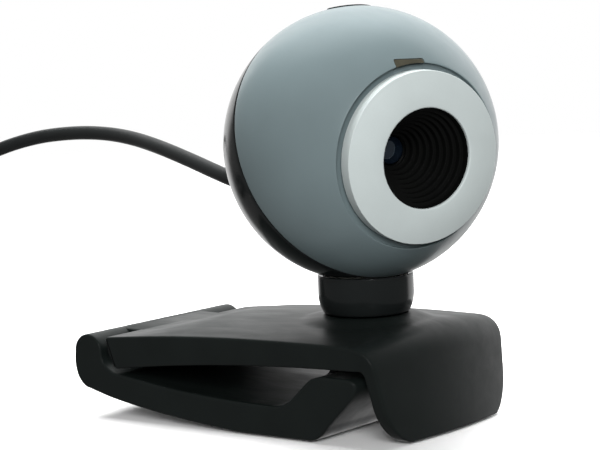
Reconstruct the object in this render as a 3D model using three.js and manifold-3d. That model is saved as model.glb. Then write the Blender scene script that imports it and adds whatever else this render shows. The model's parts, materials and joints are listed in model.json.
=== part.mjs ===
// Ball webcam on a hinged monitor clip, modelled as separate pieces.
// Units are millimetres. +Z is up, -Y is the front, +X is the right-hand side.
// The origin lies on the surface that the clip stands on, straight below the neck's axis.
import * as THREE from 'three';
import { mergeVertices } from 'three/addons/utils/BufferGeometryUtils.js';
import Module from 'manifold-3d';

const wasm = await Module();
wasm.setup();

// ---------------------------------------------------------------- driving dimensions
const GAP = 0.3; // clearance between pieces that touch

// ball head
const BALL_RADIUS = 30;
const SHELL_WALL = 1.8;
const HEAD_TURN = THREE.MathUtils.degToRad(-22.9); // head turned towards -X
const HEAD_NOD = THREE.MathUtils.degToRad(4.7); // lens a little below level
const SEAM_LEAN = THREE.MathUtils.degToRad(24.7); // seam's normal above the lens axis
const SEAM_BACK = 1; // seam plane behind the ball's centre
const BALL_SEGMENTS = 32;

// focus ring and baffle; fronts, backs and floors are distances along the lens axis from the ball's centre
const RING_RADIUS = 18;
const RING_HOLE = 10.55;
const RING_HUB = 12;
const GROOVE_WIDTH = 0.9;
const COLLAR_WALL = 1.2;
const OPENING_RADIUS = RING_RADIUS + GROOVE_WIDTH;
const OPENING_EDGE = Math.sqrt(BALL_RADIUS ** 2 - OPENING_RADIUS ** 2);
const RING_FRONT = OPENING_EDGE + 3.44;
const RING_BACK = RING_FRONT - 5;
const HUB_BACK = RING_BACK - 3.2;
const GROOVE_FLOOR = RING_BACK - 0.4;
const BAFFLE_FRONT = RING_FRONT - 1;
const BAFFLE_BACK = BAFFLE_FRONT - 12.4;
const BAFFLE_EYE = 3.3;
const BAFFLE_STEPS = 8;
const BAFFLE_WALL = 0.7;

// lens and electronics
const BARREL_RADIUS = 5.9;
const BARREL_FRONT = BAFFLE_BACK - 1;
const BARREL_BACK = 6.9;
const LENS_RADIUS = 3;
const HOLDER_WALL = 1.3;
const HOLDER_FRONT = 10.2;
const HOLDER_BASE = 15;
const BOARD_WIDTH = 34;
const BOARD_TOP = BALL_RADIUS - 13;
const BOARD_BOTTOM = -15;
const BOARD_THICKNESS = 1.6;
const BOARD_FRONT = 1; // board's front face along the lens axis
const POST_X = (BALL_RADIUS * 2) / 3;
const POST_Z = -8;
const POST_RADIUS = 2.6;

// status window and button
const WINDOW_WIDTH = 6.2;
const WINDOW_HEIGHT = 1.6;
const WINDOW_SIDE = -2.5; // window beside the middle of the ring, towards -X
const BUTTON_LENGTH = 11;
const BUTTON_WIDTH = 6;
const BUTTON_BACK = 5; // button's centre behind the top of the ball
const BUTTON_TRAVEL = 0.6;

// clip
const CLIP_WIDTH = 51;
const CLIP_WALL = 2;
const PLATE_TOP = 20.8;
const PLATE_TOP_AT = 2; // where the plate's side edge is highest
const PLATE_TOP_CURVE = 0.00088; // drop of the top edge per square millimetre
const SKIRT_EDGE = PLATE_TOP - 5.2;
const SKIRT_EDGE_CURVE = 0.00094;
const CROWN = 2.2; // rise of the plate's top from its sides to its middle
const LIP_THICKNESS = 3;
const LIP_LEAN = 0.15; // forward run of the lip per millimetre down
const LIP_TOP_Y = -18.5; // lip's outer face at plate height, at the sides
const LIP_CORNER = 8;
const SHOULDER = 5.5;
const FRONT_BULGE = 2; // how far the middle of the front stands ahead of its sides
const LIP_TAPER = 0.14; // share of its width that the lip loses at the bottom
const FLARE_RADIUS = 11.6;
const FLARE_TOP = PLATE_TOP + 3;

// neck, standing on the flare
const NECK_RADIUS = 10.6;
const NECK_FOOT_RADIUS = 9.4;
const NECK_BOTTOM = FLARE_TOP + GAP;
const STEM_RADIUS = 7;
const STEM_BORE = 5;
const STEM_BOTTOM = NECK_BOTTOM - 6;
const SWIVEL_CLIP_TOP = NECK_BOTTOM - 5.2;
const SWIVEL_WASHER_TOP = NECK_BOTTOM - 4.3;
const CUP_WEB = NECK_BOTTOM + 3.9; // underside of the web that the clamp screw pulls on
const LINER_THICKNESS = 1.2;
const CLAMP_SCREW_RADIUS = 1.5;
const TILT_UP = THREE.MathUtils.degToRad(20);
const TILT_DOWN = THREE.MathUtils.degToRad(10);
const BALL_HEIGHT = NECK_BOTTOM + 6.9 + BALL_RADIUS; // centre of the ball above the surface

// clip hinge and leg
const HINGE_Y = 61.2;
const HINGE_Z = PLATE_TOP - 6.3;
const PIN_RADIUS = 1.5;
const EAR_RADIUS = 4.1;
const EAR_WIDTH = 10.2;
const KNUCKLE_RADIUS = 4;
const WASHER_THICKNESS = 0.8;
const EAR_CLEARANCE = 7;
const LEG_FLOOR = 2.2;
const JAW_TOP = SKIRT_EDGE - 1.6;
const JAW_NOSE_Y = -14.9;
const FOOT_FRONT = -2.5;
const FOOT_BACK = 18;
const PAD_THICKNESS = 1.2;
const PAD_WIDTH = 29;
const LIP_PAD_WIDTH = 26;
const LIP_PAD_THICKNESS = 1;
const LIP_PAD_HEIGHTS = [2.5, 10];

// cable, 1.8 m long in all: strain relief, free stretch, coil and plug
const CORD_DIAMETER = 3.8;
const CORD_EXIT_DROP = THREE.MathUtils.degToRad(40.3); // where it leaves the ball, below the lens axis
const CORD_RISE = THREE.MathUtils.degToRad(5.3);
const RELIEF_ROOT = 3.6;
const RELIEF_DEPTH = 7;
const RELIEF_TIP = 15;
const CORD_LIES = CORD_DIAMETER / 2 + 0.05; // height of its middle where it lies on the surface
const COIL_CENTRE = [-2, 190];
const COIL_INNER = 13.4;
const COIL_OUTER = 28.6;
const COIL_HEIGHT = 11.4;
const BESIDE_COIL = COIL_OUTER + CORD_DIAMETER / 2 + 0.4;
const COIL_ENTRY = THREE.MathUtils.degToRad(139.9);
const CORD_ROUTE = [
  [22.6, 57.5, 50.7], [29.7, 75.5, 54], [36, 91.5, 56.7], [42, 106.6, 58.5], [46.2, 121, 59.4],
  [48.9, 136, 59.2], [49.8, 151, 57.7], [49, 165.5, 54.3], [46, 179.5, 48.6], [41, 192, 41],
  [34, 203, 32.2], [25.2, 212, 23], [15, 218.5, 14.4], [4.2, 222, 7.6], [-6.4, 222.4, 3.2],
  [-16.6, 218.6, CORD_LIES],
  [
    COIL_CENTRE[0] + BESIDE_COIL * Math.cos(COIL_ENTRY),
    COIL_CENTRE[1] + BESIDE_COIL * Math.sin(COIL_ENTRY),
    CORD_LIES,
  ],
];
const TAIL_ROUTE = [
  [COIL_CENTRE[0] - BESIDE_COIL, 190, 9.5], [-33.2, 183, 8.6], [-33.6, 176, 6.6], [-34, 169, 4.9],
  [-34.2, 162, 4.3],
];
const TIE_WIDTH = 9;
const TIE_THICKNESS = 0.8;
const PLUG_GRIP_SIZE = [15, 21, 8];
const PLUG_SHELL_SIZE = [12, 12.5, 4.5];
const PLUG_CENTRE = [-34.2, 151];

// ---------------------------------------------------------------- materials
const finish = (color, roughness, metalness = 0) =>
  new THREE.MeshStandardMaterial({ color, roughness, metalness });
const GREY_GLOSS = finish(0x76838a, 0.35);
const BLACK_GLOSS = finish(0x17191a, 0.2);
const BLACK_SATIN = finish(0x23282a, 0.5);
const BLACK_MATT = finish(0x121313, 0.75);
const PALE_SILVER = finish(0xcfd6d6, 0.4);
const SMOKED = finish(0x3a352b, 0.2);
const GLASS = finish(0x203038, 0.05);
const STEEL = finish(0xa9adb0, 0.3, 1);
const BOARD_GREEN = finish(0x1f5a35, 0.5);
const CHIP_BLACK = finish(0x1b1b1d, 0.6);
const RUBBER = finish(0x1d1f1f, 0.85);
const WHITE_PLASTIC = finish(0xe4e2da, 0.5);
const LED_GREEN = finish(0x5fc46a, 0.3);

// ---------------------------------------------------------------- solids
// A closed three.js geometry as a manifold, with its shared vertices merged and its faces outward.
function solid(geometry) {
  const bare = geometry.index ? geometry.toNonIndexed() : geometry.clone();
  bare.deleteAttribute('normal');
  bare.deleteAttribute('uv');
  const merged = mergeVertices(bare, 1e-4);
  const points = merged.attributes.position;
  const faces = [];
  let volume = 0;
  const corner = [new THREE.Vector3(), new THREE.Vector3(), new THREE.Vector3()];
  for (let i = 0; i < merged.index.count; i += 3) {
    const face = [0, 1, 2].map((k) => merged.index.getX(i + k));
    if (new Set(face).size < 3) continue;
    face.forEach((vertex, k) => corner[k].fromBufferAttribute(points, vertex));
    volume += corner[0].dot(corner[1].clone().cross(corner[2]));
    faces.push(face);
  }
  const triVerts = Uint32Array.from(faces.flatMap((face) => (volume < 0 ? face.reverse() : face)));
  const mesh = new wasm.Mesh({ numProp: 3, vertProperties: Float32Array.from(points.array), triVerts });
  mesh.merge();
  return new wasm.Manifold(mesh);
}

function geometryOf(manifold) {
  const mesh = manifold.getMesh();
  const geometry = new THREE.BufferGeometry();
  geometry.setAttribute('position', new THREE.BufferAttribute(Float32Array.from(mesh.vertProperties), 3));
  geometry.setIndex(Array.from(mesh.triVerts));
  geometry.computeVertexNormals();
  return geometry;
}

function piece(name, body, material, parent) {
  const mesh = new THREE.Mesh(geometryOf(body), material);
  mesh.name = name;
  parent.add(mesh);
  return mesh;
}

const smoothstep = THREE.MathUtils.smoothstep;

// An outline drawn in (y, z), pulled along X to both sides of the middle.
const SIDE_VIEW = new THREE.Matrix4().makeBasis(
  new THREE.Vector3(0, 1, 0), new THREE.Vector3(0, 0, 1), new THREE.Vector3(1, 0, 0));
function sideBlock(shape, width, steps = 1, curveSegments = 4) {
  const settings = { depth: width, steps, curveSegments, bevelEnabled: false };
  const geometry = new THREE.ExtrudeGeometry(shape, settings);
  return geometry.translate(0, 0, -width / 2).applyMatrix4(SIDE_VIEW);
}

// An outline drawn in (x, y), pulled up from z = bottom.
function planBlock(shape, bottom, height, curveSegments = 8) {
  const geometry = new THREE.ExtrudeGeometry(shape, { depth: height, curveSegments, bevelEnabled: false });
  return geometry.translate(0, 0, bottom);
}

const points2 = (...list) => list.map(([x, y]) => new THREE.Vector2(x, y));
const box = (size, centre) => new THREE.BoxGeometry(...size).translate(...centre);

// A profile of [radius, height] turned round the Z axis.
function turned(profile, segments = 32) {
  return new THREE.LatheGeometry(points2(...profile), segments).rotateX(Math.PI / 2);
}

// A ring: the same, closed on itself.
const ring = (profile, segments) => turned([...profile, profile[0]], segments);

// A profile of [radius, distance ahead of the ball's centre] turned round the lens axis, -Y.
function lensTurned(profile, segments = 32) {
  return new THREE.LatheGeometry(points2(...profile.map(([r, ahead]) => [r, -ahead])), segments);
}
const lensRing = (profile, segments) => lensTurned([...profile, profile[0]], segments);

const rod = (radius, length, segments = 16) => new THREE.CylinderGeometry(radius, radius, length, segments);
const rodAlongX = (radius, length, x, y, z, segments) =>
  rod(radius, length, segments).rotateZ(Math.PI / 2).translate(x, y, z);
const rodAlongY = (radius, length, x, y, z, segments) => rod(radius, length, segments).translate(x, y, z);
const rodAlongZ = (radius, length, x, y, z, segments) =>
  rod(radius, length, segments).rotateX(Math.PI / 2).translate(x, y, z);

function ball(radius, segments = BALL_SEGMENTS) {
  return solid(new THREE.SphereGeometry(radius, segments, segments / 2));
}

// A tube of round section along a smooth curve through the points.
function tube(points, radius, sides, steps) {
  const section = new THREE.Shape();
  for (let i = 0; i < sides; i += 1) {
    const angle = (2 * Math.PI * i) / sides;
    const [x, y] = [radius * Math.cos(angle), radius * Math.sin(angle)];
    if (i === 0) section.moveTo(x, y);
    else section.lineTo(x, y);
  }
  section.closePath();
  const path = new THREE.CatmullRomCurve3(points.map((p) => new THREE.Vector3(...p)));
  return new THREE.ExtrudeGeometry(section, { steps, extrudePath: path, bevelEnabled: false });
}

// A profile of [radius, distance back] turned round the Y axis.
const backTurned = (profile, segments = 16) => new THREE.LatheGeometry(points2(...profile), segments);

// ---------------------------------------------------------------- groups that move together
const webcam = new THREE.Group();
const swivel = new THREE.Group();
swivel.position.z = BALL_HEIGHT;
swivel.rotation.z = HEAD_TURN;
webcam.add(swivel);
const head = new THREE.Group();
head.rotation.x = HEAD_NOD;
swivel.add(head);

// ---------------------------------------------------------------- clip
const half = CLIP_WIDTH / 2;
const plateTop = (y) => PLATE_TOP - PLATE_TOP_CURVE * (y - PLATE_TOP_AT) ** 2;
const lipInner = (z) => LIP_TOP_Y - LIP_LEAN * (PLATE_TOP - z) + LIP_THICKNESS;
const skirtFront = lipInner(SKIRT_EDGE);
const skirtEdge = (y) => SKIRT_EDGE - SKIRT_EDGE_CURVE * (y - skirtFront) ** 2;

// A parabola height(y) from y0 to y1: each stretch is a quadratic curve whose control point is where its
// end tangents meet. It is parted where the clip's front begins to bulge, so that it can bend there.
const BULGE_STARTS = -2;
const BULGE_FULL = -15;
const BULGE_STOPS = [BULGE_STARTS, (BULGE_STARTS + BULGE_FULL) / 2];
function parabola(shape, height, y0, y1) {
  const between = BULGE_STOPS.filter((y) => (y - y0) * (y - y1) < 0);
  const stops = [y0, ...between, y1].sort((a, b) => (a - b) * Math.sign(y1 - y0));
  for (let i = 1; i < stops.length; i += 1) {
    const [from, to] = [stops[i - 1], stops[i]];
    const step = 1e-3;
    const slope = (height(from + step) - height(from - step)) / (2 * step);
    shape.quadraticCurveTo((from + to) / 2, height(from) + (slope * (to - from)) / 2, to, height(to));
  }
}

// The clip's plan and crown: the front stands ahead in the middle, the lip narrows downwards and
// the plate's top rises towards the middle.
function bend(geometry, crown = CROWN) {
  const points = geometry.attributes.position;
  for (let i = 0; i < points.count; i += 1) {
    const [x, y, z] = [points.getX(i), points.getY(i), points.getZ(i)];
    const middle = 1 - Math.min(1, (x / half) ** 2);
    const front = 1 - smoothstep(y, BULGE_FULL, BULGE_STARTS);
    const upper = smoothstep(z, 9, 16) * (1 - smoothstep(y, 34, 52));
    const lip = 1 - smoothstep(y, LIP_TOP_Y + 1, LIP_TOP_Y + SHOULDER);
    const narrow = 1 - LIP_TAPER * lip * THREE.MathUtils.clamp(1 - z / PLATE_TOP, 0, 1);
    points.setXYZ(i, x * narrow, y - FRONT_BULGE * middle * front, z + crown * middle * upper);
  }
  return geometry;
}

function coverOutline() {
  const bottomY = LIP_TOP_Y - LIP_LEAN * PLATE_TOP;
  const shoulderY = LIP_TOP_Y - LIP_LEAN * SHOULDER;
  const endTop = HINGE_Y - Math.sqrt(EAR_CLEARANCE ** 2 - (plateTop(HINGE_Y - 6.2) - HINGE_Z) ** 2);
  const endBottom = HINGE_Y - EAR_CLEARANCE - 1.5;
  const shape = new THREE.Shape();
  shape.moveTo(endBottom, skirtEdge(endBottom));
  parabola(shape, skirtEdge, endBottom, skirtFront + 1);
  shape.quadraticCurveTo(skirtFront, SKIRT_EDGE, lipInner(SKIRT_EDGE - 1.5), SKIRT_EDGE - 1.5);
  shape.lineTo(lipInner(1.2), 1.2);
  shape.quadraticCurveTo(lipInner(0), 0, lipInner(0) - 1, 0);
  shape.lineTo(bottomY + 1, 0);
  shape.quadraticCurveTo(bottomY, 0, bottomY + LIP_LEAN, 1);
  shape.lineTo(shoulderY, PLATE_TOP - SHOULDER);
  shape.quadraticCurveTo(LIP_TOP_Y, PLATE_TOP - 0.5, LIP_TOP_Y + SHOULDER, plateTop(LIP_TOP_Y + SHOULDER));
  parabola(shape, plateTop, LIP_TOP_Y + SHOULDER, endTop);
  shape.quadraticCurveTo(HINGE_Y - EAR_CLEARANCE, HINGE_Z + 2, HINGE_Y - EAR_CLEARANCE, HINGE_Z);
  shape.closePath();
  return shape;
}

function hollowOutline() {
  const [front, back] = [LIP_TOP_Y + SHOULDER + 0.5, HINGE_Y - EAR_CLEARANCE - 3.7];
  const roof = (y) => plateTop(y) - CLIP_WALL;
  const shape = new THREE.Shape();
  shape.moveTo(front, 5);
  BULGE_STOPS.toReversed().forEach((y) => shape.lineTo(y, 5));
  shape.lineTo(back, 5);
  shape.lineTo(back, roof(back));
  parabola(shape, roof, back, front);
  shape.closePath();
  return shape;
}

function knuckleOutline() {
  const start = HINGE_Y - EAR_CLEARANCE - 4;
  const shape = new THREE.Shape();
  shape.moveTo(start, skirtEdge(start));
  shape.lineTo(HINGE_Y, HINGE_Z - KNUCKLE_RADIUS);
  shape.absarc(HINGE_Y, HINGE_Z, KNUCKLE_RADIUS, -Math.PI / 2, Math.PI / 2, false);
  shape.lineTo(start, plateTop(start));
  shape.closePath();
  return shape;
}

// Rounds the lip's two lower corners.
function lipCornerCutter(side) {
  const edge = half * (1 - LIP_TAPER);
  const centre = [side * (edge - LIP_CORNER), LIP_CORNER];
  const shape = new THREE.Shape();
  shape.moveTo(side * (edge + 6), LIP_CORNER);
  shape.lineTo(centre[0] + side * LIP_CORNER, LIP_CORNER);
  shape.absarc(...centre, LIP_CORNER, side > 0 ? 0 : Math.PI, -Math.PI / 2, side > 0);
  shape.lineTo(centre[0], -4);
  shape.lineTo(side * (edge + 6), -4);
  shape.closePath();
  const geometry = new THREE.ExtrudeGeometry(shape, { depth: 24, curveSegments: 6, bevelEnabled: false });
  return solid(geometry.rotateX(Math.PI / 2).translate(0, -14, 0));
}

const COVER_SCREWS = [[-16, -5], [16, -5], [-16, 42], [16, 42]];
const UNDER_PLATE_RECESS = 0.8;
const UNDER_PLATE_THICKNESS = 1.6;
const SCREW_RADIUS = 1;
const SCREW_HEAD_RADIUS = 1.9;
const SCREW_LENGTH = 5;
const BOSS_RADIUS = 2.4;
const FLARE_BOTTOM = SWIVEL_WASHER_TOP + GAP;
const FLARE_PROFILE = [
  [0, FLARE_BOTTOM], [FLARE_RADIUS + 3.4, FLARE_BOTTOM], [FLARE_RADIUS + 3.4, FLARE_TOP - 2.2],
  [FLARE_RADIUS + 1.8, FLARE_TOP - 1.3], [FLARE_RADIUS + 0.6, FLARE_TOP - 0.6],
  [FLARE_RADIUS, FLARE_TOP], [0, FLARE_TOP],
];
const knuckleHalf = half - EAR_WIDTH - 2 * GAP - WASHER_THICKNESS;

function clipCover() {
  let body = solid(bend(sideBlock(coverOutline(), CLIP_WIDTH, 6)));
  body = body.add(solid(sideBlock(knuckleOutline(), 2 * knuckleHalf)));
  body = body.subtract(solid(bend(sideBlock(hollowOutline(), CLIP_WIDTH - 2 * CLIP_WALL, 6))));
  body = body.add(solid(turned(FLARE_PROFILE)));
  for (const [x, y] of COVER_SCREWS) {
    const foot = skirtEdge(y) + UNDER_PLATE_RECESS + UNDER_PLATE_THICKNESS + 2 * GAP;
    const height = plateTop(y) - foot;
    body = body.add(solid(rodAlongZ(BOSS_RADIUS, height, x, y, foot + height / 2)));
    body = body.subtract(solid(rodAlongZ(SCREW_RADIUS + GAP, SCREW_LENGTH - 0.2, x, y, foot)));
  }
  body = body.subtract(solid(rodAlongZ(STEM_RADIUS + GAP, 20, 0, 0, SWIVEL_WASHER_TOP, 32)));
  body = body.subtract(solid(rodAlongX(PIN_RADIUS + GAP, CLIP_WIDTH, 0, HINGE_Y, HINGE_Z)));
  return body.subtract(lipCornerCutter(-1)).subtract(lipCornerCutter(1));
}

function underPlateOutline() {
  const [front, back] = [LIP_TOP_Y + SHOULDER + 0.5 + GAP, HINGE_Y - EAR_CLEARANCE - 3.7 - GAP];
  const lower = (y) => skirtEdge(y) + UNDER_PLATE_RECESS;
  const upper = (y) => lower(y) + UNDER_PLATE_THICKNESS;
  const shape = new THREE.Shape();
  shape.moveTo(front, lower(front));
  parabola(shape, lower, front, back);
  shape.lineTo(back, upper(back));
  parabola(shape, upper, back, front);
  shape.closePath();
  return shape;
}

function underPlate() {
  let body = solid(bend(sideBlock(underPlateOutline(), CLIP_WIDTH - 2 * CLIP_WALL - 2 * GAP, 6), 0));
  for (const [x, y] of COVER_SCREWS) {
    body = body.subtract(solid(rodAlongZ(SCREW_RADIUS + GAP, 6, x, y, skirtEdge(y))));
    body = body.subtract(solid(rodAlongZ(SCREW_HEAD_RADIUS + GAP, 3, x, y, skirtEdge(y) + 0.1)));
  }
  return body;
}

function coverScrew([x, y]) {
  const headBottom = skirtEdge(y) + UNDER_PLATE_RECESS;
  const tip = headBottom + SCREW_LENGTH - 1.4;
  const profile = [
    [0, headBottom], [SCREW_HEAD_RADIUS, headBottom], [SCREW_HEAD_RADIUS, headBottom + 0.5],
    [SCREW_RADIUS, headBottom + 0.6], [SCREW_RADIUS, tip], [0, tip],
  ];
  return solid(turned(profile, 16).translate(x, y, 0));
}

// A soft strip whose back follows the lip and whose face is flat, parallel to the lip's lean.
function lipPad() {
  const [low, high] = LIP_PAD_HEIGHTS;
  const leaning = (from, to) => {
    const shape = new THREE.Shape();
    shape.moveTo(from(low), low);
    shape.lineTo(to(low), low);
    shape.lineTo(to(high), high);
    shape.lineTo(from(high), high);
    shape.closePath();
    return shape;
  };
  const sideBulge = FRONT_BULGE * (1 - (LIP_PAD_WIDTH / CLIP_WIDTH) ** 2);
  const back = (z) => lipInner(z) + GAP;
  const face = (z) => back(z) + LIP_PAD_THICKNESS - sideBulge;
  const behindFace = leaning((z) => face(z) - 2 * LIP_THICKNESS, face);
  const aheadOfBack = leaning(back, (z) => back(z) + 2 * LIP_THICKNESS);
  const strip = solid(bend(sideBlock(aheadOfBack, LIP_PAD_WIDTH, 4), 0));
  return strip.intersect(solid(sideBlock(behindFace, 2 * LIP_PAD_WIDTH)));
}

// ---------------------------------------------------------------- hinged leg
// The leg from the side: ear, long curved underside, flat foot, jaw, and the rails' upper edge.
function legOutline() {
  const shape = new THREE.Shape();
  shape.moveTo(HINGE_Y - EAR_RADIUS, HINGE_Z);
  shape.absarc(HINGE_Y, HINGE_Z, EAR_RADIUS, Math.PI, 0, true);
  shape.quadraticCurveTo(HINGE_Y + EAR_RADIUS + 0.9, 8.2, HINGE_Y + 1, 6.2);
  shape.splineThru(points2([52, 3.9], [35, 1.5], [FOOT_BACK, 0]));
  shape.lineTo(FOOT_FRONT, 0);
  shape.quadraticCurveTo(FOOT_FRONT - 2.6, 0.4, -7, 3.2);
  shape.lineTo(JAW_NOSE_Y + 1.9, 9.2);
  shape.quadraticCurveTo(JAW_NOSE_Y - 1.6, JAW_TOP - 0.9, JAW_NOSE_Y + 2.2, JAW_TOP);
  shape.lineTo(-5.5, JAW_TOP);
  shape.quadraticCurveTo(-3.2, JAW_TOP - 0.4, -1.9, 12.4);
  shape.lineTo(2, 8.8);
  shape.quadraticCurveTo(4.2, 6.7, 8, 6.6);
  shape.splineThru(points2([20, 6.9], [36, 8], [53, 10.2]));
  shape.quadraticCurveTo(HINGE_Y - EAR_RADIUS, 11.2, HINGE_Y - EAR_RADIUS, HINGE_Z);
  return shape;
}

function legRecess() {
  const shape = new THREE.Shape();
  shape.moveTo(5.5, 30);
  shape.lineTo(5.5, LEG_FLOOR + 1);
  shape.quadraticCurveTo(5.5, LEG_FLOOR, 7.5, LEG_FLOOR);
  shape.lineTo(FOOT_BACK, LEG_FLOOR);
  shape.splineThru(points2([35, 1.6 + LEG_FLOOR], [58, 5.2 + LEG_FLOOR]));
  shape.lineTo(58, 30);
  shape.closePath();
  return shape;
}

function clipLeg() {
  const between = CLIP_WIDTH - 2 * EAR_WIDTH;
  let body = solid(bend(sideBlock(legOutline(), CLIP_WIDTH, 6), 0));
  body = body.subtract(solid(sideBlock(legRecess(), between)));
  const gapFront = HINGE_Y - KNUCKLE_RADIUS - 4;
  body = body.subtract(solid(box([between, 30, 40], [0, gapFront + 15, HINGE_Z - 4.5])));
  return body.subtract(solid(rodAlongX(PIN_RADIUS + GAP, CLIP_WIDTH - 4, 0, HINGE_Y, HINGE_Z)));
}

// A soft strip over the jaw's inner slope and top.
function jawPad() {
  const [low, high] = [GAP, GAP + PAD_THICKNESS];
  const [slopeFoot, slopeTop, front] = [[1.6, 9.5], [-1.7, 12.6], -11];
  const shape = new THREE.Shape();
  shape.moveTo(slopeFoot[0] + low, slopeFoot[1]);
  shape.lineTo(slopeFoot[0] + high, slopeFoot[1] + high / 2);
  shape.lineTo(slopeTop[0] + high, slopeTop[1] + high / 2);
  shape.quadraticCurveTo(-3, JAW_TOP + high, -5.6, JAW_TOP + high);
  shape.lineTo(front, JAW_TOP + high);
  shape.lineTo(front, JAW_TOP + low);
  shape.lineTo(-5.5, JAW_TOP + low);
  shape.quadraticCurveTo(-3, JAW_TOP - 0.1, slopeTop[0] + low, slopeTop[1]);
  shape.closePath();
  return solid(bend(sideBlock(shape, PAD_WIDTH, 4), 0));
}

function hingeWasher(side) {
  const centre = side * (knuckleHalf + GAP + WASHER_THICKNESS / 2);
  const disc = solid(rodAlongX(KNUCKLE_RADIUS - 0.4, WASHER_THICKNESS, centre, HINGE_Y, HINGE_Z, 24));
  return disc.subtract(solid(rodAlongX(PIN_RADIUS + GAP, 4, centre, HINGE_Y, HINGE_Z)));
}

piece('clip_cover', clipCover(), BLACK_SATIN, webcam);
piece('under_plate', underPlate(), BLACK_MATT, webcam);
COVER_SCREWS.forEach((place, i) => piece(`under_plate_screw_${i + 1}`, coverScrew(place), STEEL, webcam));
piece('lip_pad', lipPad(), RUBBER, webcam);
const PIN_LENGTH = CLIP_WIDTH - 4 - 2 * GAP;
piece('hinge_pin', solid(rodAlongX(PIN_RADIUS, PIN_LENGTH, 0, HINGE_Y, HINGE_Z)), STEEL, webcam);
piece('clip_leg', clipLeg(), BLACK_SATIN, webcam);
piece('jaw_pad', jawPad(), RUBBER, webcam);
piece('hinge_washer_left', hingeWasher(-1), STEEL, webcam);
piece('hinge_washer_right', hingeWasher(1), STEEL, webcam);

// ---------------------------------------------------------------- neck
// Heights in the neck are above the surface; a sphere round the ball's centre gives the cup.
const cup = (radius, r) => BALL_HEIGHT - Math.sqrt(radius ** 2 - r ** 2);
const CUP_RADIUS = BALL_RADIUS + GAP;
const LINER_BACK = CUP_RADIUS + LINER_THICKNESS;
const [LINER_IN, LINER_OUT] = [4.2, 9.4];

const along = (from, to, count) =>
  Array.from({ length: count + 1 }, (_, i) => from + ((to - from) * i) / count);

function neck() {
  const rim = NECK_RADIUS - 0.15;
  const profile = [
    [STEM_BORE, STEM_BOTTOM], [STEM_RADIUS, STEM_BOTTOM], [STEM_RADIUS, NECK_BOTTOM],
    [NECK_FOOT_RADIUS, NECK_BOTTOM], [NECK_FOOT_RADIUS + 0.6, NECK_BOTTOM + 0.4],
    [NECK_RADIUS - 0.2, NECK_BOTTOM + 1.2], [NECK_RADIUS, NECK_BOTTOM + 2.4],
    [NECK_RADIUS, cup(CUP_RADIUS, rim) - 0.2], [rim, cup(CUP_RADIUS, rim)],
    [LINER_OUT, cup(CUP_RADIUS, LINER_OUT)],
    ...along(LINER_OUT, LINER_IN, 3).map((r) => [r, cup(LINER_BACK, r)]),
    [LINER_IN, cup(CUP_RADIUS, LINER_IN)], [CLAMP_SCREW_RADIUS + GAP, cup(CUP_RADIUS, 2)],
    [CLAMP_SCREW_RADIUS + GAP, CUP_WEB], [STEM_BORE, CUP_WEB],
  ];
  return solid(ring(profile, 28).translate(0, 0, -BALL_HEIGHT));
}

function neckLiner() {
  const radii = along(LINER_IN + GAP, LINER_OUT - GAP, 3);
  const back = radii.map((r) => [r, cup(LINER_BACK - GAP, r)]);
  const front = radii.map((r) => [r, cup(CUP_RADIUS, r)]).reverse();
  return solid(ring([...back, ...front], 20).translate(0, 0, -BALL_HEIGHT));
}

function swivelWasher() {
  const [inner, outer] = [STEM_RADIUS + GAP, STEM_RADIUS + 2.8];
  const [bottom, top] = [SWIVEL_CLIP_TOP + GAP, SWIVEL_WASHER_TOP];
  const profile = [[inner, bottom], [outer, bottom], [outer, top], [inner, top]];
  return solid(ring(profile, 24).translate(0, 0, -BALL_HEIGHT));
}

// A C-shaped clip below the washer.
function swivelClip() {
  const [inner, outer] = [STEM_RADIUS + GAP, STEM_RADIUS + 2.4];
  const profile = [
    [inner, STEM_BOTTOM], [outer, STEM_BOTTOM], [outer, SWIVEL_CLIP_TOP], [inner, SWIVEL_CLIP_TOP],
  ];
  const body = solid(ring(profile, 24));
  const mouth = solid(box([5, 20, 4], [0, 10, STEM_BOTTOM]));
  return body.subtract(mouth).translate([0, 0, -BALL_HEIGHT]);
}

const SADDLE_OUTER = BALL_RADIUS - SHELL_WALL - GAP;
const SADDLE_INNER = SADDLE_OUTER - 2.3;
const NUT_BOTTOM = -SADDLE_INNER + 0.5;
const NUT_HEIGHT = 2.2;
const CLAMP_HEAD_RADIUS = 3;
const CLAMP_HEAD_BOTTOM = NECK_BOTTOM - 1.5 - BALL_HEIGHT;
const CLAMP_HEAD_TOP = CLAMP_HEAD_BOTTOM + 1.4;

function clampScrew() {
  const tip = NUT_BOTTOM + NUT_HEIGHT + 0.6;
  return solid(turned([
    [0, CLAMP_HEAD_BOTTOM], [CLAMP_HEAD_RADIUS, CLAMP_HEAD_BOTTOM], [CLAMP_HEAD_RADIUS, CLAMP_HEAD_TOP],
    [CLAMP_SCREW_RADIUS, CLAMP_HEAD_TOP], [CLAMP_SCREW_RADIUS, tip - 0.4], [CLAMP_SCREW_RADIUS - 0.4, tip],
    [0, tip],
  ], 16));
}

function clampSpring() {
  const [turns, perTurn, radius, wire] = [3, 9, 2.8, 0.4];
  const bottom = CLAMP_HEAD_TOP + GAP + wire;
  const top = CUP_WEB - BALL_HEIGHT - GAP - wire;
  const points = along(0, 1, turns * perTurn).map((t) => {
    const angle = 2 * Math.PI * turns * t;
    return [radius * Math.cos(angle), radius * Math.sin(angle), bottom + (top - bottom) * t];
  });
  return solid(tube(points, wire, 5, turns * perTurn));
}

function saddle() {
  const shell = ball(SADDLE_OUTER, 32).subtract(ball(SADDLE_INNER, 32));
  const block = solid(box([16, 13, 12], [0, 0, -SADDLE_OUTER]));
  const hole = solid(rodAlongZ(CLAMP_SCREW_RADIUS + GAP, 20, 0, 0, -SADDLE_OUTER));
  return shell.intersect(block).subtract(hole);
}

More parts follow.
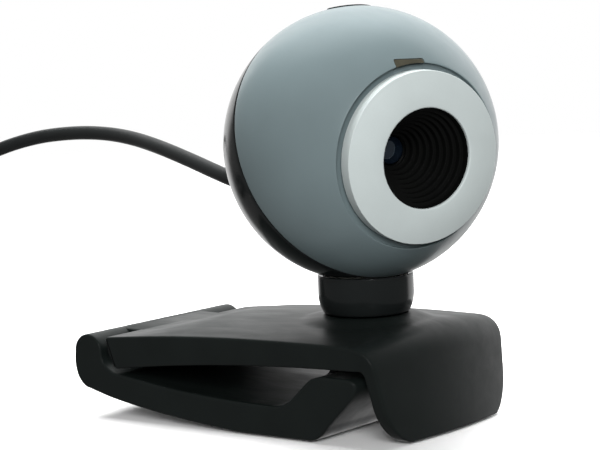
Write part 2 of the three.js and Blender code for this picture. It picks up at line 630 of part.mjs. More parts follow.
function clampNut() {
  const body = solid(rodAlongZ(CLAMP_HEAD_RADIUS, NUT_HEIGHT, 0, 0, NUT_BOTTOM + NUT_HEIGHT / 2, 6));
  return body.subtract(solid(rodAlongZ(CLAMP_SCREW_RADIUS + GAP, 10, 0, 0, NUT_BOTTOM)));
}

piece('neck', neck(), BLACK_GLOSS, swivel);
piece('neck_liner', neckLiner(), WHITE_PLASTIC, swivel);
piece('swivel_washer', swivelWasher(), STEEL, swivel);
piece('swivel_clip', swivelClip(), STEEL, swivel);
piece('clamp_screw', clampScrew(), STEEL, swivel);
piece('clamp_spring', clampSpring(), STEEL, swivel);
piece('saddle', saddle(), BLACK_MATT, swivel);
piece('clamp_nut', clampNut(), STEEL, swivel);

// ---------------------------------------------------------------- ball shells
const SHELL_INNER = BALL_RADIUS - SHELL_WALL;
const WINDOW_CENTRE = OPENING_RADIUS + 0.2 + WINDOW_HEIGHT / 2;

// Everything ahead of the seam plane, moved by offset along its normal.
function aheadOfSeam(offset) {
  const size = 3 * BALL_RADIUS;
  const block = box([size, size, size], [0, 0, size / 2 - SEAM_BACK + offset]);
  return solid(block.rotateX(Math.PI / 2 - SEAM_LEAN));
}

function buttonOutline(grow) {
  const [w, l] = [BUTTON_LENGTH / 2 + grow, BUTTON_WIDTH / 2 + grow];
  const shape = new THREE.Shape();
  shape.absellipse(0, BUTTON_BACK, w, l, 0, 2 * Math.PI, false, 0);
  return shape;
}

// A solid post between two distances along Y, with a hole for a shell screw.
function screwPost(side, from, to) {
  const post = solid(rodAlongY(POST_RADIUS, to - from, side * POST_X, (from + to) / 2, POST_Z));
  return post.subtract(solid(rodAlongY(SCREW_RADIUS + GAP, 16, side * POST_X, 0, POST_Z)));
}

function frontShell() {
  const [collarInner, collarOuter] = [RING_HUB + 0.4, OPENING_RADIUS + COLLAR_WALL];
  const [collarBack, collarFront] = [GROOVE_FLOOR - COLLAR_WALL, GROOVE_FLOOR + 3.5];
  const collar = lensRing([
    [collarInner, collarBack], [collarOuter, collarBack],
    [collarOuter, collarFront], [collarInner, collarFront],
  ], 36);
  const ahead = 2 * BALL_RADIUS;
  const groove = lensTurned([
    [0, GROOVE_FLOOR], [OPENING_RADIUS, GROOVE_FLOOR], [OPENING_RADIUS, ahead], [0, ahead],
  ], 36);
  let body = ball(BALL_RADIUS).subtract(ball(SHELL_INNER));
  body = body.add(solid(collar).intersect(ball(BALL_RADIUS - 0.2))).subtract(solid(groove));
  for (const side of [-1, 1]) {
    body = body.add(screwPost(side, -BALL_RADIUS, 3).intersect(ball(SHELL_INNER + 0.5)));
  }
  body = body.intersect(aheadOfSeam(GAP / 2));
  for (const side of [-1, 1]) body = body.add(screwPost(side, -4, 3));
  const windowSize = [WINDOW_WIDTH + 2 * GAP, 18, WINDOW_HEIGHT + 2 * GAP];
  const windowHole = box(windowSize, [WINDOW_SIDE, -24.5, WINDOW_CENTRE]);
  body = body.subtract(solid(windowHole));
  return body.subtract(solid(planBlock(buttonOutline(GAP), BALL_RADIUS - 10, 15)));
}

function ledWindow() {
  const shell = ball(BALL_RADIUS, 48).subtract(ball(SHELL_INNER));
  const block = box([WINDOW_WIDTH, 20, WINDOW_HEIGHT], [WINDOW_SIDE, -26, WINDOW_CENTRE]);
  return shell.intersect(solid(block));
}

// The cable leaves the back of the ball at CORD_EXIT, rising by CORD_RISE.
const EXIT_RADIUS = BALL_RADIUS - 0.7;
const CORD_EXIT = [0, EXIT_RADIUS * Math.cos(CORD_EXIT_DROP), -EXIT_RADIUS * Math.sin(CORD_EXIT_DROP)];
const alongCord = (geometry) => geometry.rotateX(CORD_RISE).translate(...CORD_EXIT);

const REAR_BOSS_RADIUS = 3.2;
const SCREW_SEAT = 15;

function rearShell() {
  const shell = ball(BALL_RADIUS).subtract(ball(SHELL_INNER));
  let body = shell.subtract(aheadOfSeam(-GAP / 2));
  for (const side of [-1, 1]) {
    const boss = rodAlongY(REAR_BOSS_RADIUS, BALL_RADIUS, side * POST_X, 3 + GAP + BALL_RADIUS / 2, POST_Z);
    const pocket = rodAlongY(SCREW_HEAD_RADIUS + GAP + 0.2, 20, side * POST_X, SCREW_SEAT + 10, POST_Z);
    const hole = rodAlongY(SCREW_RADIUS + GAP, 40, side * POST_X, 10, POST_Z);
    body = body.add(solid(boss).intersect(ball(SHELL_INNER + 0.5)));
    body = body.subtract(solid(pocket)).subtract(solid(hole));
  }
  const slot = new THREE.Shape();
  const reach = 1.25 * BALL_RADIUS;
  const end = (CLAMP_SCREW_RADIUS + 0.5) / SHELL_INNER;
  const front = HEAD_NOD + TILT_DOWN + end;
  const back = HEAD_NOD - TILT_UP - end;
  slot.moveTo(0, 0);
  slot.lineTo(-reach * Math.sin(front), -reach * Math.cos(front));
  slot.lineTo(-reach * Math.sin(back), -reach * Math.cos(back));
  slot.closePath();
  body = body.subtract(solid(sideBlock(slot, 2 * CLAMP_SCREW_RADIUS + 1)));
  return body.subtract(solid(alongCord(rodAlongY(RELIEF_ROOT + GAP, 2 * RELIEF_DEPTH + 6, 0, 0, 0, 24))));
}

function cordRelief() {
  const cordRadius = CORD_DIAMETER / 2;
  const profile = [
    [0, -RELIEF_DEPTH], [RELIEF_ROOT, -RELIEF_DEPTH], [RELIEF_ROOT, 3.6], [RELIEF_ROOT - 0.2, 4.2],
    [cordRadius + 0.9, RELIEF_TIP - 0.4], [cordRadius + 0.6, RELIEF_TIP], [0, RELIEF_TIP],
  ];
  return solid(alongCord(backTurned(profile, 20)));
}

function shellScrew(side) {
  const [tip, seat, top] = [-4.5, SCREW_SEAT + GAP, SCREW_SEAT + 1.6];
  const profile = [
    [0, tip], [SCREW_RADIUS, tip], [SCREW_RADIUS, seat], [SCREW_HEAD_RADIUS, seat],
    [SCREW_HEAD_RADIUS, top], [0, top],
  ];
  return solid(backTurned(profile).translate(side * POST_X, 0, POST_Z));
}

piece('front_shell', frontShell(), GREY_GLOSS, head);
piece('rear_shell', rearShell(), BLACK_GLOSS, head);
piece('shell_screw_left', shellScrew(-1), STEEL, head);
piece('shell_screw_right', shellScrew(1), STEEL, head);
piece('led_window', ledWindow(), SMOKED, head);
piece('cord_relief', cordRelief(), RUBBER, head);

// ---------------------------------------------------------------- focus ring and baffle
function focusRing() {
  return solid(lensRing([
    [RING_HOLE, RING_FRONT - 0.25], [RING_HOLE + 0.5, RING_FRONT],
    [(RING_HOLE + RING_RADIUS) / 2, RING_FRONT - 0.15], [RING_RADIUS - 0.4, RING_FRONT - 0.45],
    [RING_RADIUS, RING_FRONT - 0.9], [RING_RADIUS, RING_BACK], [RING_HUB, RING_BACK], [RING_HUB, HUB_BACK],
    [RING_HUB - 0.8, HUB_BACK], [RING_HUB - 0.8, BAFFLE_FRONT + GAP], [RING_HOLE, BAFFLE_FRONT + GAP],
  ], 36));
}

function lensBaffle() {
  const rise = (BAFFLE_FRONT - BAFFLE_BACK) / BAFFLE_STEPS;
  const front = RING_HOLE - 0.15;
  const run = (front - BAFFLE_EYE) / BAFFLE_STEPS;
  const steps = [];
  for (let i = 0; i < BAFFLE_STEPS; i += 1) {
    const r = front - run * i;
    steps.push([r, BAFFLE_FRONT - rise * i], [r, BAFFLE_FRONT - rise * (i + 1)]);
  }
  const outside = [
    [BAFFLE_EYE, BAFFLE_BACK], [BAFFLE_EYE, BAFFLE_BACK - 0.5],
    [BAFFLE_EYE + BAFFLE_WALL + run, BAFFLE_BACK - 0.5],
    [front + 0.4, BAFFLE_FRONT - 2.2], [front + 0.4, BAFFLE_FRONT],
  ];
  return solid(lensRing([...steps, ...outside], 20));
}

function ringRetainer() {
  const [inner, outer] = [RING_HUB + GAP, RING_HUB + 2.5];
  const [back, front] = [HUB_BACK + GAP, GROOVE_FLOOR - COLLAR_WALL - GAP];
  const body = solid(lensRing([[inner, back], [outer, back], [outer, front], [inner, front]], 32));
  return body.subtract(solid(box([4, 4, 10], [0, -(back + front) / 2, -RING_HUB])));
}

piece('focus_ring', focusRing(), PALE_SILVER, head);
piece('lens_baffle', lensBaffle(), BLACK_MATT, head);
piece('ring_retainer', ringRetainer(), STEEL, head);

// ---------------------------------------------------------------- lens
function lensBarrel() {
  const bore = LENS_RADIUS + GAP;
  return solid(lensRing([
    [bore, BARREL_BACK], [BARREL_RADIUS, BARREL_BACK], [BARREL_RADIUS, BARREL_FRONT - 0.6],
    [BARREL_RADIUS - 0.6, BARREL_FRONT], [bore, BARREL_FRONT],
  ], 32));
}

// A lens with a bulged front and a flatter back, its rim between the two distances.
function lensGlass(radius, backRim, frontRim, frontBulge, backBulge) {
  const domed = (t) => [radius * Math.cos(t), frontRim + frontBulge * Math.sin(t)];
  const front = along(0, Math.PI / 2, 5).map(domed);
  front[front.length - 1][0] = 0;
  const back = [[0, backRim - backBulge], [radius * 0.6, backRim - backBulge * 0.6], [radius, backRim]];
  return solid(lensTurned([...back, ...front], 16));
}

function lensHolder() {
  const bore = BARREL_RADIUS + 0.35;
  const [seat, cavity] = [5, 2.9];
  const outer = bore + HOLDER_WALL;
  const depth = seat - BOARD_FRONT - GAP;
  let body = solid(box([HOLDER_BASE, depth, HOLDER_BASE], [0, -(seat + BOARD_FRONT + GAP) / 2, 0]));
  const sleeve = [[0, seat - 1], [outer, seat - 1], [outer, HOLDER_FRONT], [0, HOLDER_FRONT]];
  body = body.add(solid(lensTurned(sleeve)));
  body = body.subtract(solid(box([10, 2 * cavity, 10], [0, 0, 0])));
  body = body.subtract(solid(rodAlongY(3.6, 20, 0, 0, 0, 24)));
  return body.subtract(solid(lensTurned([[0, seat], [bore, seat], [bore, 20], [0, 20]])));
}

const frontLens = lensGlass(LENS_RADIUS, BARREL_FRONT - 1.6, BARREL_FRONT - 0.3, 0.8, 0.5);
const rearLens = lensGlass(LENS_RADIUS, BARREL_BACK + 1.1, BARREL_BACK + 2.3, 0.5, 0.5);
piece('lens_barrel', lensBarrel(), BLACK_MATT, head);
piece('front_lens', frontLens, GLASS, head);
piece('rear_lens', rearLens, GLASS, head);
piece('lens_holder', lensHolder(), BLACK_MATT, head);
const [FILTER_RADIUS, FILTER_THICKNESS, FILTER_BACK] = [5.7, 0.6, 5 + GAP];
const filter = rodAlongY(FILTER_RADIUS, FILTER_THICKNESS, 0, -(FILTER_BACK + FILTER_THICKNESS / 2), 0, 24);
piece('ir_filter', solid(filter), GLASS, head);

// ---------------------------------------------------------------- circuit board
const boardBack = BOARD_THICKNESS - BOARD_FRONT;
const BOARD_SCREWS = [[-13, 13], [13, 13]];
const CAPACITOR = { radius: 2.5, length: 5.5, x: -11, z: -9 };

function circuitBoard() {
  const height = BOARD_TOP - BOARD_BOTTOM;
  const centre = [0, boardBack - BOARD_THICKNESS / 2, (BOARD_TOP + BOARD_BOTTOM) / 2];
  let body = solid(box([BOARD_WIDTH, BOARD_THICKNESS, height], centre));
  for (const [x, z] of BOARD_SCREWS) {
    body = body.subtract(solid(rodAlongY(SCREW_RADIUS + GAP, 10, x, 0, z)));
  }
  return body;
}

function boardScrew([x, z]) {
  const [tip, seat, top] = [-6, boardBack + GAP, boardBack + 1.4];
  const profile = [
    [0, tip], [SCREW_RADIUS, tip], [SCREW_RADIUS, seat], [SCREW_HEAD_RADIUS, seat],
    [SCREW_HEAD_RADIUS, top], [0, top],
  ];
  return solid(backTurned(profile).translate(x, 0, z));
}

const onBoardFront = (size, x, z) => solid(box(size, [x, -BOARD_FRONT - GAP - size[1] / 2, z]));
const onBoardBack = (size, x, z) => solid(box(size, [x, boardBack + GAP + size[1] / 2, z]));

piece('circuit_board', circuitBoard(), BOARD_GREEN, head);
BOARD_SCREWS.forEach((place, i) => piece(`board_screw_${i + 1}`, boardScrew(place), STEEL, head));
piece('image_sensor', onBoardFront([8, 1.1, 8], 0, 0), CHIP_BLACK, head);
piece('controller_chip', onBoardBack([10, 1.4, 10], -6, 2), CHIP_BLACK, head);
piece('crystal', onBoardBack([4.6, 3.4, 10], 8, 3), STEEL, head);
const capacitorMiddle = boardBack + GAP + CAPACITOR.length / 2;
const can = rodAlongY(CAPACITOR.radius, CAPACITOR.length, CAPACITOR.x, capacitorMiddle, CAPACITOR.z, 20);
piece('capacitor', solid(can), CHIP_BLACK, head);
piece('cable_connector', onBoardBack([9, 5, 5], 3, -9), WHITE_PLASTIC, head);

function statusLed() {
  const profile = [[0, 13], [1.6, 13], [1.6, 13.8], [1.3, 13.8], [1.3, 16.4], [0.9, 17.2], [0, 17.5]];
  return solid(lensTurned(profile, 16).translate(WINDOW_SIDE, 0, WINDOW_CENTRE));
}
piece('status_led', statusLed(), LED_GREEN, head);

// ---------------------------------------------------------------- button
const SWITCH_TOP = BALL_RADIUS - 8.4;
const SWITCH_SIZE = [6, 5, 4.2];
const PLUNGER_RISE = 0.6;
const FLANGE_BOTTOM = BALL_RADIUS - 5.4;
const FLANGE_THICKNESS = 1.4;

function snapshotButton() {
  const capBottom = FLANGE_BOTTOM + FLANGE_THICKNESS;
  const cap = solid(planBlock(buttonOutline(0), capBottom, 8)).intersect(ball(BALL_RADIUS + 0.25));
  const flange = solid(planBlock(buttonOutline(1), FLANGE_BOTTOM, FLANGE_THICKNESS));
  const [stemBottom, stemTop] = [SWITCH_TOP + PLUNGER_RISE + GAP + BUTTON_TRAVEL, capBottom + 0.4];
  const stem = rodAlongZ(1.4, stemTop - stemBottom, 0, BUTTON_BACK, (stemBottom + stemTop) / 2, 16);
  return cap.add(flange.intersect(ball(SHELL_INNER - BUTTON_TRAVEL))).add(solid(stem));
}

function buttonSwitch() {
  const [, depth, height] = SWITCH_SIZE;
  const body = box(SWITCH_SIZE, [0, boardBack + GAP + 1 + depth / 2, SWITCH_TOP - height / 2]);
  const plunger = rodAlongZ(1.3, 2 * PLUNGER_RISE, 0, BUTTON_BACK, SWITCH_TOP, 16);
  return solid(body).add(solid(plunger));
}
piece('snapshot_button', snapshotButton(), BLACK_GLOSS, head);
piece('button_switch', buttonSwitch(), CHIP_BLACK, head);

// ---------------------------------------------------------------- cable
function cordCoil() {
  const c = 1.6; // chamfer
  const geometry = ring([
    [COIL_INNER + c, 0], [COIL_OUTER - c, 0], [COIL_OUTER, c], [COIL_OUTER, COIL_HEIGHT - c],
    [COIL_OUTER - c, COIL_HEIGHT], [COIL_INNER + c, COIL_HEIGHT], [COIL_INNER, COIL_HEIGHT - c],
    [COIL_INNER, c],
  ], 36);
  return solid(geometry.translate(...COIL_CENTRE, 0));
}

// A strap over the coil, on the side towards the webcam.
function cordTie() {
  const [inner, outer] = [COIL_INNER - GAP, COIL_OUTER + GAP];
  const [length, height] = [outer - inner + 1, COIL_HEIGHT + GAP];
  const full = [TIE_WIDTH, length + 2 * TIE_THICKNESS, height + TIE_THICKNESS];
  const outside = solid(box(full, [0, 0, full[2] / 2]));
  const inside = solid(box([TIE_WIDTH + 2, length, 2 * height], [0, 0, 0]));
  return outside.subtract(inside).translate([COIL_CENTRE[0], COIL_CENTRE[1] - (inner + outer) / 2, 0]);
}

const PLUG_HEIGHT = PLUG_GRIP_SIZE[2] / 2 + 0.05;
const PLUG_TIP = PLUG_CENTRE[1] - PLUG_GRIP_SIZE[1] / 2 - PLUG_SHELL_SIZE[1];
const SHELL_SHEET = 0.4;

function plugGrip() {
  const [w, l, h] = PLUG_GRIP_SIZE;
  const r = 2.4; // where its rounded sides begin
  const shape = new THREE.Shape();
  shape.moveTo(-w / 2 + r, -h / 2);
  shape.lineTo(w / 2 - r, -h / 2);
  shape.quadraticCurveTo(w / 2, -h / 2, w / 2, 0);
  shape.quadraticCurveTo(w / 2, h / 2, w / 2 - r, h / 2);
  shape.lineTo(-w / 2 + r, h / 2);
  shape.quadraticCurveTo(-w / 2, h / 2, -w / 2, 0);
  shape.quadraticCurveTo(-w / 2, -h / 2, -w / 2 + r, -h / 2);
  const geometry = new THREE.ExtrudeGeometry(shape, { depth: l, curveSegments: 5, bevelEnabled: false });
  geometry.rotateX(Math.PI / 2).translate(PLUG_CENTRE[0], PLUG_CENTRE[1] + l / 2, PLUG_HEIGHT);
  const [sw, , sh] = PLUG_SHELL_SIZE;
  const pocketSize = [sw + 2 * GAP, 8, sh + 2 * GAP];
  const pocket = box(pocketSize, [PLUG_CENTRE[0], PLUG_CENTRE[1] - l / 2, PLUG_HEIGHT]);
  return solid(geometry).subtract(solid(pocket));
}

function plugShell() {
  const [w, l, h] = PLUG_SHELL_SIZE;
  const length = l + 4 - GAP;
  const centre = [PLUG_CENTRE[0], PLUG_TIP + length / 2, PLUG_HEIGHT];
  const inside = box([w - 2 * SHELL_SHEET, length, h - 2 * SHELL_SHEET], centre).translate(0, -1, 0);
  return solid(box([w, length, h], centre)).subtract(solid(inside));
}

function plugTongue() {
  const [w, l, h] = PLUG_SHELL_SIZE;
  const thickness = 1.8;
  const size = [w - 2 * SHELL_SHEET - 2 * GAP, l + 2, thickness];
  const z = PLUG_HEIGHT + h / 2 - SHELL_SHEET - GAP - thickness / 2;
  return solid(box(size, [PLUG_CENTRE[0], PLUG_TIP + 0.6 + size[1] / 2, z]));
}

// The free stretch starts just behind the strain relief, on its axis.
function cordStart(distance) {
  const point = new THREE.Vector3(0, distance * Math.cos(CORD_RISE), distance * Math.sin(CORD_RISE));
  webcam.updateMatrixWorld(true);
  return head.localToWorld(point.add(new THREE.Vector3(...CORD_EXIT))).toArray();
}

const CORD_STEPS = 34;
const freeStretch = [cordStart(RELIEF_TIP + 0.1), cordStart(RELIEF_TIP + 11), ...CORD_ROUTE];
piece('cord', solid(tube(freeStretch, CORD_DIAMETER / 2, 8, CORD_STEPS)), RUBBER, webcam);
piece('cord_coil', cordCoil(), RUBBER, webcam);
piece('cord_tail', solid(tube(TAIL_ROUTE, CORD_DIAMETER / 2, 8, 6)), RUBBER, webcam);
piece('cord_tie', cordTie(), RUBBER, webcam);
piece('plug_grip', plugGrip(), RUBBER, webcam);
piece('plug_shell', plugShell(), STEEL, webcam);
piece('plug_tongue', plugTongue(), WHITE_PLASTIC, webcam);

export default webcam;
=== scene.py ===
"""Ball webcam on a hinged monitor clip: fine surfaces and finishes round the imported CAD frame.

Units are metres. +Z is up, -Y is the front, and the ball's lens looks a little to the left of -Y.
"""

import json
import math

import bpy
import numpy as np
from bpy.props import FloatProperty, FloatVectorProperty, IntProperty, PointerProperty
from mathutils import Matrix, Vector


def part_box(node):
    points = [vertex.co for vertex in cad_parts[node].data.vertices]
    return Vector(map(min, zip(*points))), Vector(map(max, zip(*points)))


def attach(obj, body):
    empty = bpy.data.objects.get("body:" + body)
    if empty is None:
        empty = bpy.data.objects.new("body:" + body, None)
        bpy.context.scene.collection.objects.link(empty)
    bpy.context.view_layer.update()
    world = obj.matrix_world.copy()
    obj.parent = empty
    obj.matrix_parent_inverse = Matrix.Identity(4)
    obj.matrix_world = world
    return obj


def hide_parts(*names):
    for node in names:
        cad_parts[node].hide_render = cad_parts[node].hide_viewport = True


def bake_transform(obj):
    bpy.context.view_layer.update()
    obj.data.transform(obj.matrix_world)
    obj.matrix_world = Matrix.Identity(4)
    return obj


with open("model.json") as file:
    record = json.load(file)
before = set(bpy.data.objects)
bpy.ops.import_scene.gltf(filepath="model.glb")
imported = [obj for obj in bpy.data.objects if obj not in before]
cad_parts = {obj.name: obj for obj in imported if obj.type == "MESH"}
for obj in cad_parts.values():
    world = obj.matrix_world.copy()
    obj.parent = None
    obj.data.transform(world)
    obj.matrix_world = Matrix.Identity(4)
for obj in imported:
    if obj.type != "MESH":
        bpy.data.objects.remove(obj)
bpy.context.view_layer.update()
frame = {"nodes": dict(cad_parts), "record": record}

bl_info = {
    "name": "Ball webcam",
    "version": (1, 0, 0),
    "blender": (4, 5, 0),
    "location": "View3D > Sidebar > Webcam",
    "description": "Builds the visible surfaces and finishes of a ball webcam on a monitor clip",
    "category": "Add Mesh",
}

MM = 0.001
UP = np.array([0.0, 0.0, 1.0])


# ---------------------------------------------------------------- sizes and colours a user may change
def length(name, description, millimetres):
    return FloatProperty(name=name, description=description, default=millimetres * MM, unit="LENGTH")


def angle(name, description, degrees):
    return FloatProperty(name=name, description=description, default=math.radians(degrees), subtype="ANGLE")


def colour(name, description, rgb):
    return FloatVectorProperty(name=name, description=description, default=rgb, size=3, subtype="COLOR")


class BallSizes(bpy.types.PropertyGroup):
    """The ball head, its two shells, focus ring and lens. Distances ahead are along the lens axis."""

    radius: length("Ball radius", "Outside of both shells", 30)
    height: length("Ball height", "Centre of the ball above the surface", 61)
    wall: length("Shell wall", "Thickness of both shells", 1.8)
    turn: angle("Turn", "Head turned about the upright axis", -22.9)
    nod: angle("Nod", "Lens below level", 4.7)
    seam_lean: angle("Seam lean", "Seam's normal above the lens axis", 24.7)
    seam_back: length("Seam back", "Seam behind the centre", 1)
    seam_gap: length("Seam gap", "Gap between the two shells", 0.3)
    ring_radius: length("Ring radius", "Outside of the focus ring", 18.2)
    ring_front: length("Ring front", "Foremost edge of the focus ring", 26.74)
    ring_back: length("Ring back", "Back of the focus ring's flange", 21.74)
    ring_hole: length("Ring hole", "Mouth of the focus ring", 10.55)
    ring_hub: length("Ring hub", "Hub behind the flange", 12)
    ring_dome: length("Ring dome", "How far the ring's face falls back to its edge", 1.4)
    groove: length("Groove", "Width of the groove round the ring", 1.3)
    groove_floor: length("Groove floor", "Floor of that groove", 21.34)
    eye: length("Eye", "Radius of the opening in the stepped baffle", 3.3)
    baffle_front: length("Baffle front", "Where the steps start", 25.74)
    baffle_back: length("Baffle back", "Where the steps end", 13.34)
    steps: IntProperty(name="Steps", description="Steps in the baffle", default=9, min=3)
    window_width: length("Window width", "Status window across", 6.8)
    window_height: length("Window height", "Status window above the groove", 0.8)
    window_side: length("Window side", "Status window beside the middle", -1.8)
    post_side: length("Post side", "Shell screws beside the middle", 20)
    post_height: length("Post height", "Shell screws above the middle", -8)
    exit_drop: angle("Exit drop", "Where the cable leaves the ball, below the lens axis", 40.3)
    exit_rise: angle("Exit rise", "Rise of the cable there", 5.3)
    button_length: length("Button length", "Snapshot button across", 11)
    button_width: length("Button width", "Snapshot button fore and aft", 6)
    button_back: length("Button back", "Button's centre behind the top of the ball", 5)


class ClipSizes(bpy.types.PropertyGroup):
    """The clip's cover with its lip, the hinged leg and the neck."""

    width: length("Width", "Clip from side to side", 51)
    wall: length("Wall", "Cover's wall", 2)
    plate_top: length("Plate top", "Highest point of the cover's side edge", 20.8)
    plate_top_at: length("Plate top at", "Where that point is", 2)
    skirt_edge: length("Skirt edge", "Highest point of the side's lower edge", 15.6)
    crown: length("Crown", "Rise of the cover from its sides to its middle", 2.2)
    lip_thickness: length("Lip thickness", "Lip that hangs at the front", 3)
    lip_top_y: length("Lip top", "Lip's outer face at plate height", -18.5)
    lip_corner: length("Lip corner", "Radius of the lip's two lower corners", 8)
    shoulder: length("Shoulder", "Round from the plate into the lip", 5.5)
    front_bulge: length("Front bulge", "Middle of the front ahead of its sides", 2)
    flare_top: length("Flare top", "Height of that seat", 23.8)
    hinge_y: length("Hinge back", "Hinge axis behind the neck", 61.2)
    hinge_z: length("Hinge height", "Hinge axis above the surface", 14.5)
    ear_radius: length("Ear radius", "Round ends of the leg's ears", 4.1)
    ear_width: length("Ear width", "Each ear and rail of the leg", 10.2)
    ear_clearance: length("Ear clearance", "Hollow end of the cover round the hinge axis", 7)
    neck_radius: length("Neck radius", "Upper part of the neck", 10.6)
    neck_foot: length("Neck foot", "Foot of the neck", 9.4)
    neck_bottom: length("Neck bottom", "Foot of the neck above the surface", 24.1)


class CableSizes(bpy.types.PropertyGroup):
    """The cable, its coil and its plug."""

    diameter: length("Diameter", "Cable jacket", 3.8)
    total: length("Length", "Whole cable from the strain relief to the plug", 1800)
    coil_inner: length("Coil inner", "Middle of the innermost turn", 15.3)
    turns: IntProperty(name="Turns", description="Turns side by side in a layer", default=4, min=1)


class Finishes(bpy.types.PropertyGroup):
    """Base colours of the finishes, as linear light."""

    shell: colour("Front shell", "Blue-grey plastic of the ball's front", (0.145, 0.187, 0.196))
    ring: colour("Focus ring", "Pale silver-grey", (0.52, 0.575, 0.57))
    gloss_black: colour("Gloss black", "Rear shell, neck and button", (0.008, 0.0095, 0.0095))
    satin_black: colour("Satin black", "Clip and leg", (0.0062, 0.0084, 0.0079))
    rubber: colour("Rubber", "Pads, strain relief and cable", (0.013, 0.0145, 0.0145))
    window: colour("Status window", "Smoked olive", (0.05, 0.047, 0.032))


class StageSizes(bpy.types.PropertyGroup):
    """Floor, lights and camera."""

    floor: colour("Floor", "Pale floor", (0.86, 0.86, 0.86))
    camera_turn: angle("Camera turn", "Azimuth of the camera, seen from the front", -52)
    camera_pitch: angle("Camera pitch", "Camera looks down", 6)
    camera_roll: angle("Camera roll", "Camera leans", 2.3)
    distance: length("Distance", "Camera to the middle of the ball", 432)
    focal: length("Lens", "Focal length on a 36 mm sensor", 118.7)


def sizes():
    return bpy.context.scene.webcam


# ---------------------------------------------------------------- surfaces
def ease(t):
    """3t2 - 2t3 between 0 and 1, flat outside."""
    t = np.clip(t, 0, 1)
    return t * t * (3 - 2 * t)


def spread(*arrays):
    """Arrays broadcast together and stacked as points."""
    return np.stack(np.broadcast_arrays(*arrays), axis=-1).astype(float)


def grid_quads(rows, columns):
    """The four corners of each cell between neighbouring rows and columns."""
    corner = (np.arange(rows - 1)[:, None] * columns + np.arange(columns - 1)[None, :]).ravel()
    return np.stack([corner, corner + 1, corner + columns + 1, corner + columns], axis=-1)


def surface_mesh(name, patches, caps=()):
    """One mesh from grids of points that share their borders, welded at equal points and turned outwards.

    A cap is a ring of points closed by one flat face. The sense is taken from the signed volume, the sum
    of each face's fan of corner triple products.
    """
    points, quads, uvs, start = [], [], [], 0
    for patch in patches:
        rows, columns = patch.shape[:2]
        points.append(patch.reshape(-1, 3))
        quads.append(grid_quads(rows, columns) + start)
        along, across = np.meshgrid(np.linspace(0, 1, rows), np.linspace(0, 1, columns), indexing="ij")
        uvs.append(np.stack([across, along], axis=-1).reshape(-1, 2))
        start += rows * columns
    rings = []
    for cap in caps:
        points.append(cap)
        uvs.append(np.zeros((len(cap), 2)))
        rings.append(np.arange(len(cap)) + start)
        start += len(cap)
    points, uvs, quads = np.concatenate(points), np.concatenate(uvs), np.concatenate(quads)
    keys = np.round(points / 1e-7).astype(np.int64)
    _, first, joined = np.unique(keys, axis=0, return_index=True, return_inverse=True)
    joined = joined.reshape(-1)
    corners = joined[quads]
    repeated = corners == np.roll(corners, 1, axis=1)
    repeats = repeated.sum(axis=1)
    whole, pinched = repeats == 0, repeats == 1
    loops = [corners[whole].ravel(), corners[pinched][~repeated[pinched]]]
    sources = [quads[whole].ravel(), quads[pinched][~repeated[pinched]]]
    sizes_ = [np.full(whole.sum(), 4), np.full(pinched.sum(), 3)]
    for ring in rings:
        loops.append(joined[ring])
        sources.append(ring)
        sizes_.append(np.array([len(ring)]))
    loops, sources, counts = np.concatenate(loops), np.concatenate(sources), np.concatenate(sizes_)
    starts = np.concatenate([[0], np.cumsum(counts)[:-1]])
    vertices = points[first]
    mesh = bpy.data.meshes.new(name)
    mesh.vertices.add(len(vertices))
    mesh.vertices.foreach_set("co", vertices.astype(np.float32).ravel())
    mesh.loops.add(len(loops))
    mesh.loops.foreach_set("vertex_index", loops.astype(np.int32))
    mesh.polygons.add(len(starts))
    mesh.polygons.foreach_set("loop_start", starts.astype(np.int32))
    mesh.uv_layers.new(name="UVMap").data.foreach_set("uv", uvs[sources].astype(np.float32).ravel())
    mesh.update(calc_edges=True)
    mesh.validate()
    if signed_volume(mesh) < 0:
        mesh.flip_normals()
    return mesh


def signed_volume(mesh):
    """A sixth of the sum of a . (b x c) over the mesh's triangles."""
    mesh.calc_loop_triangles()
    co = np.zeros(len(mesh.vertices) * 3, np.float32)
    mesh.vertices.foreach_get("co", co)
    tri = np.zeros(len(mesh.loop_triangles) * 3, np.int32)
    mesh.loop_triangles.foreach_get("vertices", tri)
    a, b, c = co.reshape(-1, 3).astype(float)[tri.reshape(-1, 3)].transpose(1, 0, 2)
    return float((a * np.cross(b, c)).sum() / 6)


def new_object(mesh):
    piece = bpy.data.objects.new(mesh.name, mesh)
    bpy.context.scene.collection.objects.link(piece)
    return piece


def shade(mesh, sharp_degrees):
    """Smooth shading that breaks where faces meet at more than the given angle."""
    mesh.polygons.foreach_set("use_smooth", np.ones(len(mesh.polygons), bool))
    mesh.set_sharp_from_angle(angle=math.radians(sharp_degrees))


def carve(piece, cutters, operation="DIFFERENCE"):
    """The piece with each closed cutter mesh taken away, or joined, and its result kept as its own mesh."""
    helpers = []
    for cutter in cutters:
        helper = new_object(cutter)
        helpers.append(helper)
        modifier = piece.modifiers.new("carve", "BOOLEAN")
        modifier.operation, modifier.object, modifier.solver = operation, helper, "MANIFOLD"
    graph = bpy.context.evaluated_depsgraph_get()
    result = bpy.data.meshes.new_from_object(piece.evaluated_get(graph))
    if len(result.polygons) == 0:
        raise RuntimeError(f"{piece.name}: the cut left nothing")
    result.name = piece.name
    piece.modifiers.clear()
    piece.data = result
    for helper in helpers:
        bpy.data.objects.remove(helper)
    return piece


def finish_piece(piece, material, body=None, replaced=(), sharp=35):
    """Gives a piece its shading, finish, body and the CAD nodes that it stands for."""
    shade(piece.data, sharp)
    piece.data.materials.clear()
    piece.data.materials.append(material)
    if body:
        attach(piece, body)
    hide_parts(*replaced)
    return piece


